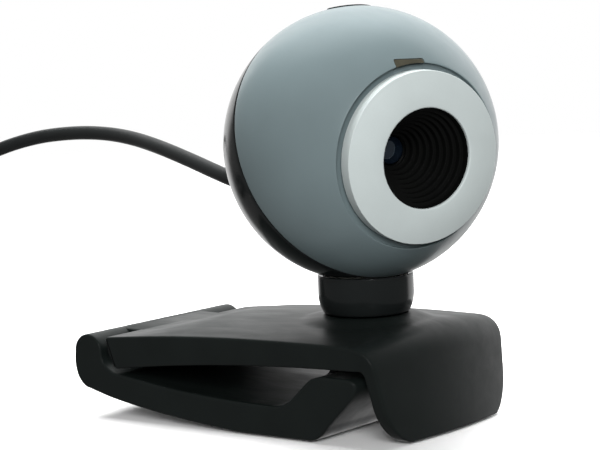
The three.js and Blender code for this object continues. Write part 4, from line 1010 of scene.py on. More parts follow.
def window_mesh(name, grow, depth_mm):
    """The status window: a rounded rectangle on the sphere, its lower edge on the ring's groove."""
    ball = sizes().ball
    opening = ball.ring_radius + ball.groove
    w = ball.window_width / 2 + grow
    bottom, top = opening - 1.8 * MM, opening + ball.window_height + grow
    corner = 0.6 * MM
    x = ball.window_side
    corners = [(x, bottom), (x + w, bottom), (x + w, top), (x - w, top), (x - w, bottom), (x, bottom)]
    outline = thinned(rounded(corners, [0.05 * MM, corner, corner, 0.05 * MM], 8), 0.12 * MM)
    outline[-1] = outline[0]
    centre = np.array([x, (bottom + top) / 2])
    lift = 4 * MM if depth_mm > 5 else -0.02 * MM

    def surface(p):
        return np.sqrt(ball.radius**2 - p[..., 0] ** 2 - p[..., 1] ** 2) + lift

    block = disc_block(outline, centre, surface, 0.12 * MM, min(depth_mm * MM, 12 * MM))
    points = np.stack([block[..., 0], -block[..., 2], block[..., 1]], axis=-1)
    return surface_mesh(name, [moved(points, head_place())])


def button_mesh(name, grow, depth_mm):
    """The button: an ellipse on top of the ball, slightly proud."""
    ball = sizes().ball
    turn = round_turn(96)
    w, l = ball.button_length / 2 + grow, ball.button_width / 2 + grow
    centre = np.array([0, ball.button_back])
    outline = centre + np.stack([w * np.cos(turn), l * np.sin(turn)], axis=-1)
    lift = 4 * MM if depth_mm > 10 else 0.25 * MM

    def surface(p):
        return np.sqrt(ball.radius**2 - p[..., 0] ** 2 - p[..., 1] ** 2) + lift

    block = disc_block(outline, centre, surface, 0.3 * MM, min(depth_mm * MM, 12 * MM))
    return surface_mesh(name, [moved(block, head_place())])


class WEBCAM_OT_window_and_button(bpy.types.Operator):
    """Makes the smoked status window and the snapshot button"""

    bl_idname = "webcam.window_and_button"
    bl_label = "Status window and button"

    def execute(self, context):
        ball = sizes().ball
        opening = ball.ring_radius + ball.groove
        window = new_object(window_mesh("status_window", 0, 1.7))
        groove = lens_lathe([(0, 10 * MM), (opening, 10 * MM), (opening, 40 * MM), (0, 40 * MM)], 240)
        carve(window, [surface_mesh("groove", [groove])])
        finish_piece(window, finish("smoked_window"), "head", ["led_window"])
        button = new_object(button_mesh("button_cap", 0, 2.6))
        finish_piece(button, finish("black_gloss"), "button", ["snapshot_button"])
        return {"FINISHED"}


class WEBCAM_OT_rear_shell(bpy.types.Operator):
    """Makes the rear shell: the other part of the sphere, with screw pockets, cable hole and neck slot"""

    bl_idname = "webcam.rear_shell"
    bl_label = "Rear shell"

    def execute(self, context):
        ball = sizes().ball
        big, inside = ball.radius, ball.radius - ball.wall
        back = ball.seam_back + ball.seam_gap / 2
        soft = 0.35 * MM
        low = math.asin(back / big)
        edge = (math.sqrt(big**2 - back**2), back)
        sweep = np.linspace(low + soft / big, math.pi / 2, 100)
        outer = np.stack([big * np.cos(sweep), big * np.sin(sweep)], axis=-1)
        inner_low = math.asin(back / inside)
        inner_sweep = np.linspace(math.pi / 2, inner_low, 40)
        inner = np.stack([inside * np.cos(inner_sweep), inside * np.sin(inner_sweep)], axis=-1)
        rim = bezier((edge[0] - soft, back), edge, outer[0], 5)
        outer[-1, 0], inner[0, 0] = 0, 0
        profile = np.concatenate([rim[:-1], outer])
        inside_rows = np.concatenate([inner, rim[:1]])
        normal, side, third = seam_frame()
        basis = Matrix(np.stack([side, -third, -normal], axis=1).tolist()).to_4x4()
        place = head_place() @ basis
        surfaces = [moved(turned(rows, 220), place) for rows in (profile, inside_rows)]
        piece = new_object(surface_mesh("ball_rear", surfaces))
        along_y = Matrix.Rotation(math.radians(-90), 4, "X")
        cutters = []
        for x in (-ball.post_side, ball.post_side):
            pocket = [(0, 15 * MM), (2.4 * MM, 15 * MM), (2.4 * MM, 40 * MM), (0, 40 * MM)]
            where = head_place() @ Matrix.Translation((x, 0, ball.post_height)) @ along_y
            cutters.append(surface_mesh("pocket", [moved(turned(pocket, 48), where)]))
        relief = [(0, -3 * MM), (3.75 * MM, -3 * MM), (3.75 * MM, 20 * MM), (0, 20 * MM)]
        where = head_place() @ cable_exit() @ along_y
        cutters.append(surface_mesh("relief_hole", [moved(turned(relief, 64), where)]))
        cutters.append(surface_mesh("slot", [moved(slot_points(), head_place())]))
        carve(piece, cutters)
        wells = []
        for x in (-ball.post_side, ball.post_side):
            where = head_place() @ Matrix.Translation((x, 0, ball.post_height)) @ along_y
            wells.append(surface_mesh("well", [moved(turned(well_profile(), 48), where)]))
        carve(piece, wells, "UNION")
        finish_piece(piece, finish("black_gloss"), "head", ["rear_shell"], sharp=40)
        return {"FINISHED"}


def well_profile():
    """The sleeve that a shell screw sits in, from its seat out to the sphere."""
    ball = sizes().ball
    outer, inner, hole = 3.2 * MM, 2.4 * MM, 1.3 * MM
    reach = math.sqrt(ball.radius**2 - ball.post_side**2 - ball.post_height**2) - 2.2 * MM
    foot, seat = 4 * MM, 15 * MM
    return np.array([(hole, foot), (outer, foot), (outer, reach), (inner, reach), (inner, seat),
                     (hole, seat), (hole, foot)])


def slot_points():
    """The slot under the ball that the clamp screw runs in: a wedge about the ball's centre."""
    ball = sizes().ball
    end = 2 * MM / (ball.radius - ball.wall)
    angles = np.linspace(ball.nod + math.radians(10) + end, ball.nod - math.radians(20) - end, 24)
    half = 2 * MM
    rows = []
    for a in angles:
        near, far = 24 * MM, 34 * MM
        inner_edge = (-near * math.sin(a), -near * math.cos(a))
        outer_edge = (-far * math.sin(a), -far * math.cos(a))
        rows.append([(-half, *inner_edge), (half, *inner_edge), (half, *outer_edge), (-half, *outer_edge),
                     (-half, *inner_edge)])
    rows = np.array(rows)
    first = np.broadcast_to(rows[0].mean(axis=0), rows[0].shape)[None]
    last = np.broadcast_to(rows[-1].mean(axis=0), rows[-1].shape)[None]
    return np.concatenate([first, rows, last])


class WEBCAM_OT_focus_ring(bpy.types.Operator):
    """Makes the focus ring with its slightly domed face"""

    bl_idname = "webcam.focus_ring"
    bl_label = "Focus ring"

    def execute(self, context):
        ball = sizes().ball
        r_in, r_out, front = ball.ring_hole, ball.ring_radius, ball.ring_front
        face_r = np.linspace(r_in + 0.35 * MM, r_out - 0.22 * MM, 30)
        share = (face_r - face_r[0]) / (face_r[-1] - face_r[0])
        face = np.stack([face_r, front - ball.ring_dome * share**1.8], axis=-1)
        edge = bezier(face[-1], (r_out, face[-1, 1] - 0.03 * MM), (r_out, face[-1, 1] - 0.25 * MM), 6)
        back, step_r = ball.ring_back, r_out - 0.9 * MM
        hub_back, hub_inner, seat = back - 3.2 * MM, ball.ring_hub - 0.8 * MM, ball.baffle_front + 0.3 * MM
        wall = np.array([(r_out, back + 0.7 * MM), (r_out - 0.15 * MM, back + 0.55 * MM),
                         (step_r, back + 0.5 * MM), (step_r, back), (ball.ring_hub, back),
                         (ball.ring_hub, hub_back), (hub_inner, hub_back), (hub_inner, seat), (r_in, seat)])
        mouth = bezier((r_in, front - 0.4 * MM), (r_in, front), face[0], 6)
        profile = np.concatenate([face, edge[1:], wall, mouth])
        piece = new_object(surface_mesh("focus_ring_face", [lens_lathe(profile, 192)]))
        finish_piece(piece, finish("pale_silver"), "focus_ring", ["focus_ring"])
        return {"FINISHED"}


class WEBCAM_OT_baffle(bpy.types.Operator):
    """Makes the stepped baffle, each step with a softened nose"""

    bl_idname = "webcam.baffle"
    bl_label = "Baffle"

    def execute(self, context):
        ball = sizes().ball
        front_r = ball.ring_hole - 0.15 * MM
        rise = (ball.baffle_front - ball.baffle_back) / ball.steps
        run = (front_r - ball.eye) / ball.steps
        nose = 0.16 * MM
        corners, radii = [(front_r, ball.baffle_front)], []
        for i in range(ball.steps):
            r, d = front_r - run * i, ball.baffle_front - rise * i
            corners += [(r, d - rise), (r - run, d - rise)]
            radii += [0.08 * MM, nose]
        end, outside = ball.baffle_back - 0.5 * MM, front_r + 0.4 * MM
        corners += [(ball.eye, end), (ball.eye + 0.7 * MM + run, end),
                    (outside, ball.baffle_front - 2.2 * MM), (outside, ball.baffle_front),
                    (front_r, ball.baffle_front)]
        radii += [0.1 * MM, 0.1 * MM, 0.1 * MM, 0.1 * MM]
        piece = new_object(surface_mesh("stepped_baffle", [lens_lathe(rounded(corners, radii, 3), 144)]))
        finish_piece(piece, finish("black_matt"), "focus_ring", ["lens_baffle"])
        return {"FINISHED"}


class WEBCAM_OT_lens(bpy.types.Operator):
    """Makes the front lens and the threaded barrel"""

    bl_idname = "webcam.lens"
    bl_label = "Lens"

    def execute(self, context):
        low_front, high_front = 11.0 * MM, 12.3 * MM
        radius, dome = 3 * MM, 0.9 * MM
        t = np.linspace(0, np.pi / 2, 24)
        front = np.stack([radius * np.cos(t), high_front + dome * np.sin(t)], axis=-1)
        front[-1, 0] = 0
        back = np.array([(0, low_front - 0.4 * MM), (radius * 0.6, low_front - 0.25 * MM),
                         (radius, low_front)])
        glass = new_object(surface_mesh("front_glass", [lens_lathe(np.concatenate([back, front]), 96)]))
        finish_piece(glass, finish("lens_glass"), "lens", ["front_lens"], sharp=60)
        bore, outer = 3.3 * MM, 5.9 * MM
        barrel_back, barrel_front, thread_depth = 6.9 * MM, 12.5 * MM, 0.18 * MM
        thread_start, thread_length, rise = 7.2 * MM, 4.6 * MM, 0.23 * MM
        thread = np.concatenate([
            [(outer - thread_depth, thread_start + thread_length * s),
             (outer, thread_start + rise + thread_length * s)] for s in np.arange(0, 1, 0.1)])
        heel = [(bore, barrel_back), (outer - 0.2 * MM, barrel_back)]
        nose = [(outer - 0.5 * MM, barrel_front - 0.2 * MM), (outer - 0.7 * MM, barrel_front),
                (bore + 0.5 * MM, barrel_front), (bore, barrel_front - 0.3 * MM), (bore, barrel_back)]
        profile = np.concatenate([heel, thread, nose])
        barrel = new_object(surface_mesh("lens_barrel_body", [lens_lathe(profile, 96)]))
        finish_piece(barrel, finish("black_matt"), "lens", ["lens_barrel"])
        return {"FINISHED"}


# ---------------------------------------------------------------- neck
class WEBCAM_OT_neck(bpy.types.Operator):
    """Makes the neck: a round pillar, drawn in at its foot, with a cup that the ball sits in"""

    bl_idname = "webcam.neck"
    bl_label = "Neck"

    def execute(self, context):
        clip, ball = sizes().clip, sizes().ball
        cup_radius = ball.radius + 0.3 * MM
        rim = clip.neck_radius - 0.35 * MM

        def cup(r):
            return ball.height - math.sqrt(cup_radius**2 - r**2)

        foot, bottom, top = clip.neck_foot, clip.neck_bottom, cup(rim)
        side = bezier((foot + 0.15 * MM, bottom + 0.2 * MM),
                      (clip.neck_radius + 0.05 * MM, bottom + 2.2 * MM),
                      (clip.neck_radius, bottom + 4.6 * MM), 16)
        lip = bezier((clip.neck_radius, top - 0.5 * MM), (clip.neck_radius, top + 0.1 * MM), (rim, top), 5)
        inner = np.array([(r, cup(r)) for r in np.linspace(rim, 9.4 * MM, 4)])
        mouth, bore, liner = 9.4 * MM, 5 * MM, 1 * MM
        bowl = np.array([(mouth, cup(mouth) - liner), (bore, cup(bore) - liner), (bore, bottom - 6 * MM)])
        stem = np.array([(7 * MM, bottom - 6 * MM), (7 * MM, bottom), (foot - 0.1 * MM, bottom)])
        profile = np.concatenate([side, lip, inner[1:], bowl, stem, side[:1]])
        profile[:, 1] -= ball.height
        points = moved(turned(profile, 144), neck_place())
        piece = new_object(surface_mesh("neck_pillar", [points]))
        finish_piece(piece, finish("black_gloss"), "neck", ["neck"])
        return {"FINISHED"}


# ---------------------------------------------------------------- clip
def plate_height(y):
    clip = sizes().clip
    return clip.plate_top - 0.88 * (y - clip.plate_top_at) ** 2


def lip_inner(z):
    clip = sizes().clip
    return clip.lip_top_y - 0.15 * (clip.plate_top - z) + clip.lip_thickness


def skirt_height(y):
    clip = sizes().clip
    return clip.skirt_edge - 0.94 * (y - lip_inner(clip.skirt_edge)) ** 2


def bent(points, crown):
    """The clip's plan and crown: x narrows down the lip, y goes ahead and z rises towards the middle."""
    clip = sizes().clip
    x, y, z = points[..., 0], points[..., 1], points[..., 2]
    middle = 1 - np.minimum(1, (2 * x / clip.width) ** 2)
    front = 1 - ease((y + 15 * MM) / (13 * MM))
    upper = ease((z - 9 * MM) / (7 * MM)) * (1 - ease((y - 34 * MM) / (18 * MM)))
    lip = 1 - ease((y - clip.lip_top_y - 1 * MM) / (clip.shoulder - 1 * MM))
    narrow = 1 - 0.14 * lip * np.clip(1 - z / clip.plate_top, 0, 1)
    return spread(x * narrow, y - clip.front_bulge * middle * front, z + crown * middle * upper)


def slab_columns(flats, steps=5):
    """Places across a slab: share of the flat width, share of the edge radius outwards, and share of that
    radius in from the face."""
    theta = np.linspace(0, np.pi / 2, steps + 1)
    flat = np.linspace(-1, 1, flats + 1)
    place = np.concatenate([-np.ones(steps), flat, np.ones(steps)])
    out = np.concatenate([-np.cos(theta[:-1]), np.zeros(flats + 1), np.cos(theta[:-1])[::-1]])
    drop = np.concatenate([1 - np.sin(theta[:-1]), np.zeros(flats + 1), (1 - np.sin(theta[:-1]))[::-1]])
    return place, out, drop


def slab(inner, outer, half_width, radius, recess, wall, bow, flats=90):
    """A slab carried between two matching lines in (y, z), from side to side, with rounded edges.

    Row by row the section runs over the outer face, down the side and back under the inner face, which is
    set in by recess between the walls. bow bends a row's section along the slab. Both ends are rounded:
    the end row is repeated while it shrinks by a quarter circle, and the last one closes on itself.
    """
    place, out, drop = slab_columns(flats)
    thickness = np.linalg.norm(outer - inner, axis=1)
    radius = np.minimum(radius, thickness * 0.45)
    along = np.gradient((inner + outer) / 2, axis=0)
    along /= np.linalg.norm(along, axis=1)[:, None]

    def section(i, shrink=0.0, push=0.0, closed=False):
        t, r = thickness[i], radius[i]
        x = place * (half_width[i] - r - shrink * 0.6) + out * r
        top = 1 - (drop * r + shrink) / t
        pocket = recess[i] * ease((half_width[i] - wall - np.abs(x)) / (0.05 * MM) + 1)
        low = (drop * r + shrink + pocket) / t
        if closed:
            top = low = np.full_like(top, 0.5)
        share = np.concatenate([top, low[::-1], top[:1]])
        xs = np.concatenate([x, x[::-1], x[:1]])
        bulge = push + bow[i] * 4 * share * (1 - share)
        flat = inner[i] + (outer[i] - inner[i]) * share[:, None] + along[i] * bulge[:, None]
        return spread(xs, flat[:, 0], flat[:, 1])

    rows = []
    angles = np.linspace(np.pi / 2, 0, 6)
    first, last = radius[0], radius[-1]
    rows.append(section(0, first, 0, closed=True))
    rows += [section(0, first * (1 - np.cos(a)), first * (1 - np.sin(a))) for a in angles]
    rows += [section(i) for i in range(1, len(inner) - 1)]
    rows += [section(len(inner) - 1, last * (1 - np.cos(a)), -last * (1 - np.sin(a))) for a in angles[::-1]]
    rows.append(section(len(inner) - 1, last, 0, closed=True))
    return np.stack(rows)


class WEBCAM_OT_clip_cover(bpy.types.Operator):
    """Makes the clip's cover: crowned plate, round shoulder and hanging lip, the seat under the neck and
    the hinge barrel"""

    bl_idname = "webcam.clip_cover"
    bl_label = "Clip cover"

    def execute(self, context):
        clip = sizes().clip
        hinge = np.array([clip.hinge_y, clip.hinge_z])
        rise = plate_height(55 * MM) - clip.hinge_z
        end_top = clip.hinge_y - math.sqrt(clip.ear_clearance**2 - rise**2)
        end_bottom = clip.hinge_y - clip.ear_clearance - 1.5 * MM
        hollow = (clip.lip_top_y + clip.shoulder + 0.5 * MM, clip.hinge_y - clip.ear_clearance - 3.7 * MM)
        inner_front = lip_inner(clip.skirt_edge) + 1 * MM
        outer_front = clip.lip_top_y + clip.shoulder
        t = np.linspace(0, 1, 190)
        spots = [(end_bottom - h) / (end_bottom - inner_front) for h in hollow]
        t = np.sort(np.concatenate([t, spots, [spots[0] - 4e-4, spots[1] + 4e-4]]))
        y_in = end_bottom + (inner_front - end_bottom) * t
        y_out = end_top + (outer_front - end_top) * t
        plate_in = np.stack([y_in, skirt_height(y_in)], axis=-1)
        plate_out = np.stack([y_out, plate_height(y_out)], axis=-1)
        z_in = clip.skirt_edge - 1.5 * MM
        turn_in = (lip_inner(clip.skirt_edge), clip.skirt_edge)
        corner_in = bezier(plate_in[-1], turn_in, (lip_inner(z_in), z_in), 24)
        shoulder_y = clip.lip_top_y - 0.15 * clip.shoulder
        turn_out = (clip.lip_top_y, clip.plate_top - 0.5 * MM)
        corner_out = bezier(plate_out[-1], turn_out, (shoulder_y, clip.plate_top - clip.shoulder), 24)
        s = np.linspace(0, 1, 70)[:, None]
        tip_in, tip_out = np.array([lip_inner(0), 0]), np.array([lip_inner(0) - clip.lip_thickness, 0])
        lip_in = corner_in[-1] + (tip_in - corner_in[-1]) * s
        lip_out = corner_out[-1] + (tip_out - corner_out[-1]) * s
        inner = np.concatenate([plate_in, corner_in[1:], lip_in[1:]])
        outer = np.concatenate([plate_out, corner_out[1:], lip_out[1:]])
        count = len(inner)
        thickness = np.linalg.norm(outer - inner, axis=1)
        on_plate = np.arange(count) < len(plate_in)
        in_hollow = (inner[:, 0] <= hollow[1]) & (inner[:, 0] >= hollow[0]) & on_plate
        recess = np.where(in_hollow, thickness - clip.wall, 0)
        z_low = np.minimum(inner[:, 1], outer[:, 1])
        down = np.clip(clip.lip_corner - z_low, 0, clip.lip_corner)
        cornered = np.sqrt(np.maximum(clip.lip_corner**2 - (down * 0.985) ** 2, 0))
        half = clip.width / 2 - clip.lip_corner + cornered
        bow = -0.85 * MM * (1 - ease(np.arange(count) / 20))
        radius = np.full(count, 0.55 * MM)
        flat = slab(inner, outer, half, radius, recess, clip.wall, bow)
        points = bent(flat, clip.crown)
        reach = np.hypot(points[..., 0], points[..., 1])
        seat = clip.flare_top - points[..., 2]
        lift = 1 - ease((reach - clip.neck_foot - 0.2 * MM) / (5.6 * MM))
        on_top = points[..., 2] > 19.5 * MM
        points[..., 2] += np.where(on_top, seat * lift, 0)
        piece = new_object(surface_mesh("clip_top", [points]))
        bore_profile = [(0, 15 * MM), (7.3 * MM, 15 * MM), (7.3 * MM, 30 * MM), (0, 30 * MM)]
        bore = surface_mesh("bore", [turned(bore_profile, 96)])
        cutters = [bore]
        barrel = self.barrel(hinge)
        carve(piece, cutters)
        carve(piece, [barrel], "UNION")
        finish_piece(piece, finish("black_satin"), "root", ["clip_cover"], sharp=40)
        return {"FINISHED"}

    def barrel(self, hinge):
        """The knuckle between the ears: a round end on two slopes, carried along X."""
        clip = sizes().clip
        half = clip.width / 2 - clip.ear_width - 1.4 * MM
        start = clip.hinge_y - clip.ear_clearance - 4 * MM
        r = 4 * MM
        low = (start, skirt_height(start) + 0.05 * MM)
        high = (start, plate_height(start) - 0.35 * MM)
        round_end = arc(hinge, r, -90, 90, 28)
        outline = np.concatenate([[low], round_end, [high], [low]])
        outline = thinned(outline, 1.2 * MM)
        edge = 0.4 * MM
        centre = outline[:-1].mean(axis=0)
        rows = []
        for x, shrink in ((-half, 0.08), (-half + edge, 0), (half - edge, 0), (half, 0.08)):
            ring = outline + (centre - outline) * shrink
            rows.append(spread(np.full(len(ring), x), ring[:, 0], ring[:, 1]))
        for row in (rows[0], rows[-1]):
            rows.append(np.broadcast_to(row[:-1].mean(axis=0), row.shape))
        return surface_mesh("barrel", [np.stack([rows[4], *rows[:4], rows[5]])])


def offset_inward(outline, distance):
    """A closed outline moved in by distance along its normals (its last point repeats its first)."""
    ring = outline[:-1]
    ahead, behind = np.roll(ring, -1, axis=0), np.roll(ring, 1, axis=0)
    tangent = ahead - behind
    tangent /= np.linalg.norm(tangent, axis=1)[:, None]
    normal = np.stack([-tangent[:, 1], tangent[:, 0]], axis=-1)
    area = (ring[:, 0] * ahead[:, 1] - ahead[:, 0] * ring[:, 1]).sum()
    moved_ring = ring + normal * math.copysign(distance, area) * (1 if distance >= 0 else -1)
    return np.concatenate([moved_ring, moved_ring[:1]])


def carried_across(outline, half_width, soft, crown=0.0, flats=48):
    """A closed outline in (y, z) carried along X. Towards each side it shrinks by a quarter circle, and a
    flat face closes it."""
    theta = np.linspace(0, np.pi / 2, 6)
    sides = [(half_width - soft * (1 - np.cos(a)), soft * (1 - np.sin(a))) for a in theta]
    middle = [(x, 0.0) for x in np.linspace(-1, 1, flats + 1)[1:-1] * (half_width - soft)]
    stations = [(-x, inset) for x, inset in sides] + middle + [(x, inset) for x, inset in sides[::-1]]
    rows = []
    for x, inset in stations:
        ring = offset_inward(outline, inset) if inset > 0 else outline
        rows.append(spread(np.full(len(ring), x), ring[:, 0], ring[:, 1]))
    points = bent(np.stack(rows), crown)
    return points, [points[0][:-1], points[-1][:-1]]


def leg_lines():
    """The leg's lower and upper outlines in (y, z), from the jaw to the hinge."""
    clip = sizes().clip
    y_hinge, z_hinge, r = clip.hinge_y / MM, clip.hinge_z / MM, clip.ear_radius / MM
    ear = arc((y_hinge, z_hinge), r, 180, 0, 28)
    hook = bezier((y_hinge + r, z_hinge), (y_hinge + r + 0.9, 8.2), (y_hinge + 1, 6.2), 12)
    under = smooth_2d([(y_hinge + 1, 6.2), (52, 3.9), (35, 1.5), (18, 0)])
    toe = bezier((-2.5, 0), (-5.1, 0.4), (-7, 3.2), 10)
    nose = bezier((-13.0, 9.2), (-16.5, 13.1), (-12.7, 14), 14)
    brow = bezier((-5.5, 14), (-3.2, 13.6), (-1.9, 12.4), 8)
    heel = bezier((2, 8.8), (4.2, 6.7), (8, 6.6), 10)
    over = smooth_2d([(8, 6.6), (20, 6.9), (36, 8), (53, 10.2)])
    end = bezier((53, 10.2), (y_hinge - r, 11.2), (y_hinge - r, z_hinge), 8)
    parts = [ear, hook[1:], under[1:], toe, nose, brow, heel, over[1:], end[1:]]
    outline = np.concatenate(parts)
    outline[-1] = outline[0]
    return thinned(outline, 0.9) * MM


def smooth_2d(points):
    line = smooth_line(np.array([(*p, 0) for p in points], float), 1.0)
    return line[:, :2]


class WEBCAM_OT_clip_leg(bpy.types.Operator):
    """Makes the hinged leg: jaw, two rails with a hollow between them, and two ears"""

    bl_idname = "webcam.clip_leg"
    bl_label = "Leg"

    def execute(self, context):
        clip = sizes().clip
        outline = leg_lines()
        points, caps = carried_across(outline, clip.width / 2, 0.55 * MM)
        piece = new_object(surface_mesh("leg_frame", [points], caps))
        carve(piece, [self.hollow(), self.ear_gap()])
        finish_piece(piece, finish("black_satin"), "leg", ["clip_leg"], sharp=40)
        return {"FINISHED"}

    def hollow(self):
        """The hollow between the rails: an upright channel that flares at the rails' upper edge."""
        clip = sizes().clip
        half = clip.width / 2 - clip.ear_width
        y = np.linspace(5.5, 58, 60)
        floor = 2.2 + np.interp(y, (5.5, 18, 35, 58), (0, 0, 1.6, 5.2))
        floor += 1.6 * (1 - ease((y - 5.5) / 1.8))
        top = np.interp(y, (5.5, 8, 20, 36, 53, 58), (7.3, 6.6, 6.9, 8, 10.2, 12.5))
        chamfer = 0.35
        rows = []
        for yy, low, high in zip(y, floor, top):
            h = half / MM
            right = [(h, low), (h, high - chamfer), (h + chamfer, high), (h + chamfer, 40)]
            loop = [(-x, z) for x, z in right[::-1]] + right
            rows.append([(x * MM, yy * MM, z * MM) for x, z in [*loop, loop[0]]])
        rows = np.array(rows)
        first = np.broadcast_to(rows[0][:-1].mean(axis=0), rows[0].shape)[None]
        last = np.broadcast_to(rows[-1][:-1].mean(axis=0), rows[-1].shape)[None]
        return surface_mesh("hollow", [np.concatenate([first, rows, last])])

    def ear_gap(self):
        """The gap between the ears, wide enough for the hinge barrel and its washers."""
        clip = sizes().clip
        half = clip.width / 2 - clip.ear_width
        front = clip.hinge_y - 8 * MM
        back, tall = 80 * MM, 20 * MM
        bar = rounded_bar(0, 10 * MM, [(front, 0, 0, 40), (front, half, tall, 40), (back, half, tall, 40),
                                       (back, 0, 0, 40)])
        return surface_mesh("gap", [bar])


class WEBCAM_OT_pads(bpy.types.Operator):
    """Makes the two rubber pads that grip a monitor"""

    bl_idname = "webcam.pads"
    bl_label = "Pads"

    def execute(self, context):
        clip = sizes().clip
        low, high = 0.3, 1.5
        inner_curve = bezier((-1.7 + low, 12.6), (-3, 13.9), (-5.5, 14 + low), 10)
        inner = np.concatenate([[(1.6 + low, 9.5)], inner_curve, [(-11, 14 + low)]]) * MM
        outer_curve = bezier((-1.7 + high, 12.6 + high / 2), (-3, 14 + high), (-5.6, 14 + high), 10)
        outer = np.concatenate([[(1.6 + high, 9.5 + high / 2)], outer_curve, [(-11, 14 + high)]]) * MM
        jaw = self.strip(inner, outer, 14.5 * MM)
        jaw_piece = new_object(surface_mesh("jaw_grip", [jaw]))
        finish_piece(jaw_piece, finish("pad_rubber"), "leg", ["jaw_pad"])
        z = np.linspace(2.5 * MM, 10 * MM, 20)
        side_bulge = clip.front_bulge * (1 - (26 / 51) ** 2)
        back_line = np.stack([lip_inner(z) + 0.3 * MM, z], axis=-1)
        face_line = np.stack([lip_inner(z) + 1.3 * MM - side_bulge, z], axis=-1)
        self.lip_strip(back_line, face_line)
        return {"FINISHED"}

    def strip(self, inner, outer, half):
        """A strip between two lines with rounded edges and small ribs across its face."""
        line_in, line_out = self.even_pair(inner, outer, 80)
        ribs = 0.12 * MM * (np.cos(np.linspace(0, 1, 80) * 2 * np.pi * 9) * 0.5 + 0.5)
        direction = line_out - line_in
        direction /= np.linalg.norm(direction, axis=1)[:, None]
        line_out = line_out - direction * ribs[:, None]
        count = len(line_in)
        none = np.zeros(count)
        flat = slab(line_in, line_out, np.full(count, half), np.full(count, 0.3 * MM), none, 1, none, 40)
        return bent(flat, 0)

    def even_pair(self, inner, outer, count):
        lines = []
        for line in (inner, outer):
            along = np.concatenate([[0], np.cumsum(np.linalg.norm(np.diff(line, axis=0), axis=1))])
            s = np.linspace(0, along[-1], count)
            lines.append(np.stack([np.interp(s, along, line[:, k]) for k in range(2)], axis=-1))
        return lines

    def lip_strip(self, back_line, face_line):
        """The lip's pad: its back follows the lip's bulge and its face is flat, with shallow ribs."""
        half = 13 * MM
        columns = np.linspace(-half, half, 53)
        edge = np.minimum(half - np.abs(columns), 0.3 * MM)
        soft = 0.3 * MM - np.sqrt(np.maximum(0, (0.3 * MM) ** 2 - (0.3 * MM - edge) ** 2))
        ribs = 0.1 * MM * (0.5 + 0.5 * np.cos(np.linspace(0, 1, len(face_line)) * 2 * np.pi * 6))
        face_y = face_line[:, 0][:, None] - ribs[:, None] - soft[None, :]
        face = spread(columns[None, :], face_y, face_line[:, 1][:, None])
        back_y = back_line[:, 0][:, None] + 0 * columns[None, :]
        back = bent(spread(columns[None, :], back_y, back_line[:, 1][:, None]), 0)
        face[..., 0] = back[..., 0]
        sheet = np.concatenate([face, back[:, ::-1], face[:, :1]], axis=1)
        ends = [sheet[:1].copy(), sheet[-1:].copy()]
        width = len(columns)
        for end in ends:
            mid = (end[:, :width] + end[:, width:2 * width][:, ::-1]) / 2
            end[:, :width] = mid
            end[:, width:2 * width] = mid[:, ::-1]
            end[:, -1] = mid[:, 0]
        piece = new_object(surface_mesh("lip_grip", [np.concatenate([ends[0], sheet, ends[1]])]))
        finish_piece(piece, finish("pad_rubber"), "root", ["lip_pad"])


# ---------------------------------------------------------------- small parts kept from the CAD
class WEBCAM_OT_small_parts(bpy.types.Operator):
    """Gives the screws, pins, washers, board and other small CAD parts their finishes"""

    bl_idname = "webcam.small_parts"
    bl_label = "Small parts"

    def execute(self, context):
        slots = {row["node"]: row["material_slot"] for row in frame["record"]["subparts"]}
        for name, node in frame["nodes"].items():
            node.data.materials.clear()
            node.data.materials.append(finish(slots[name]))
        return {"FINISHED"}


# ---------------------------------------------------------------- stage
BACKDROP_WAY = (0.9, 0.375, 0.22)  # middle of the bright backdrop, behind the webcam on the right
BACKDROP_EDGE = (0.57, 0.71)  # cosines at its outer and inner edge
BACKDROP = 1.15
FILL = 0.15


def area_light(name, place, target, size, power, shiny=False):
    """A soft light; it shows as a highlight only when it is shiny."""
    light = bpy.data.lights.new(name, "AREA")
    light.shape, light.size, light.size_y = "ELLIPSE", size[0], size[1]
    light.energy = power
    lamp = bpy.data.objects.new(name, light)
    lamp.location = place
    lamp.rotation_euler = (Vector(target) - Vector(place)).to_track_quat("-Z", "Y").to_euler()
    lamp.visible_glossy = shiny
    bpy.context.scene.collection.objects.link(lamp)


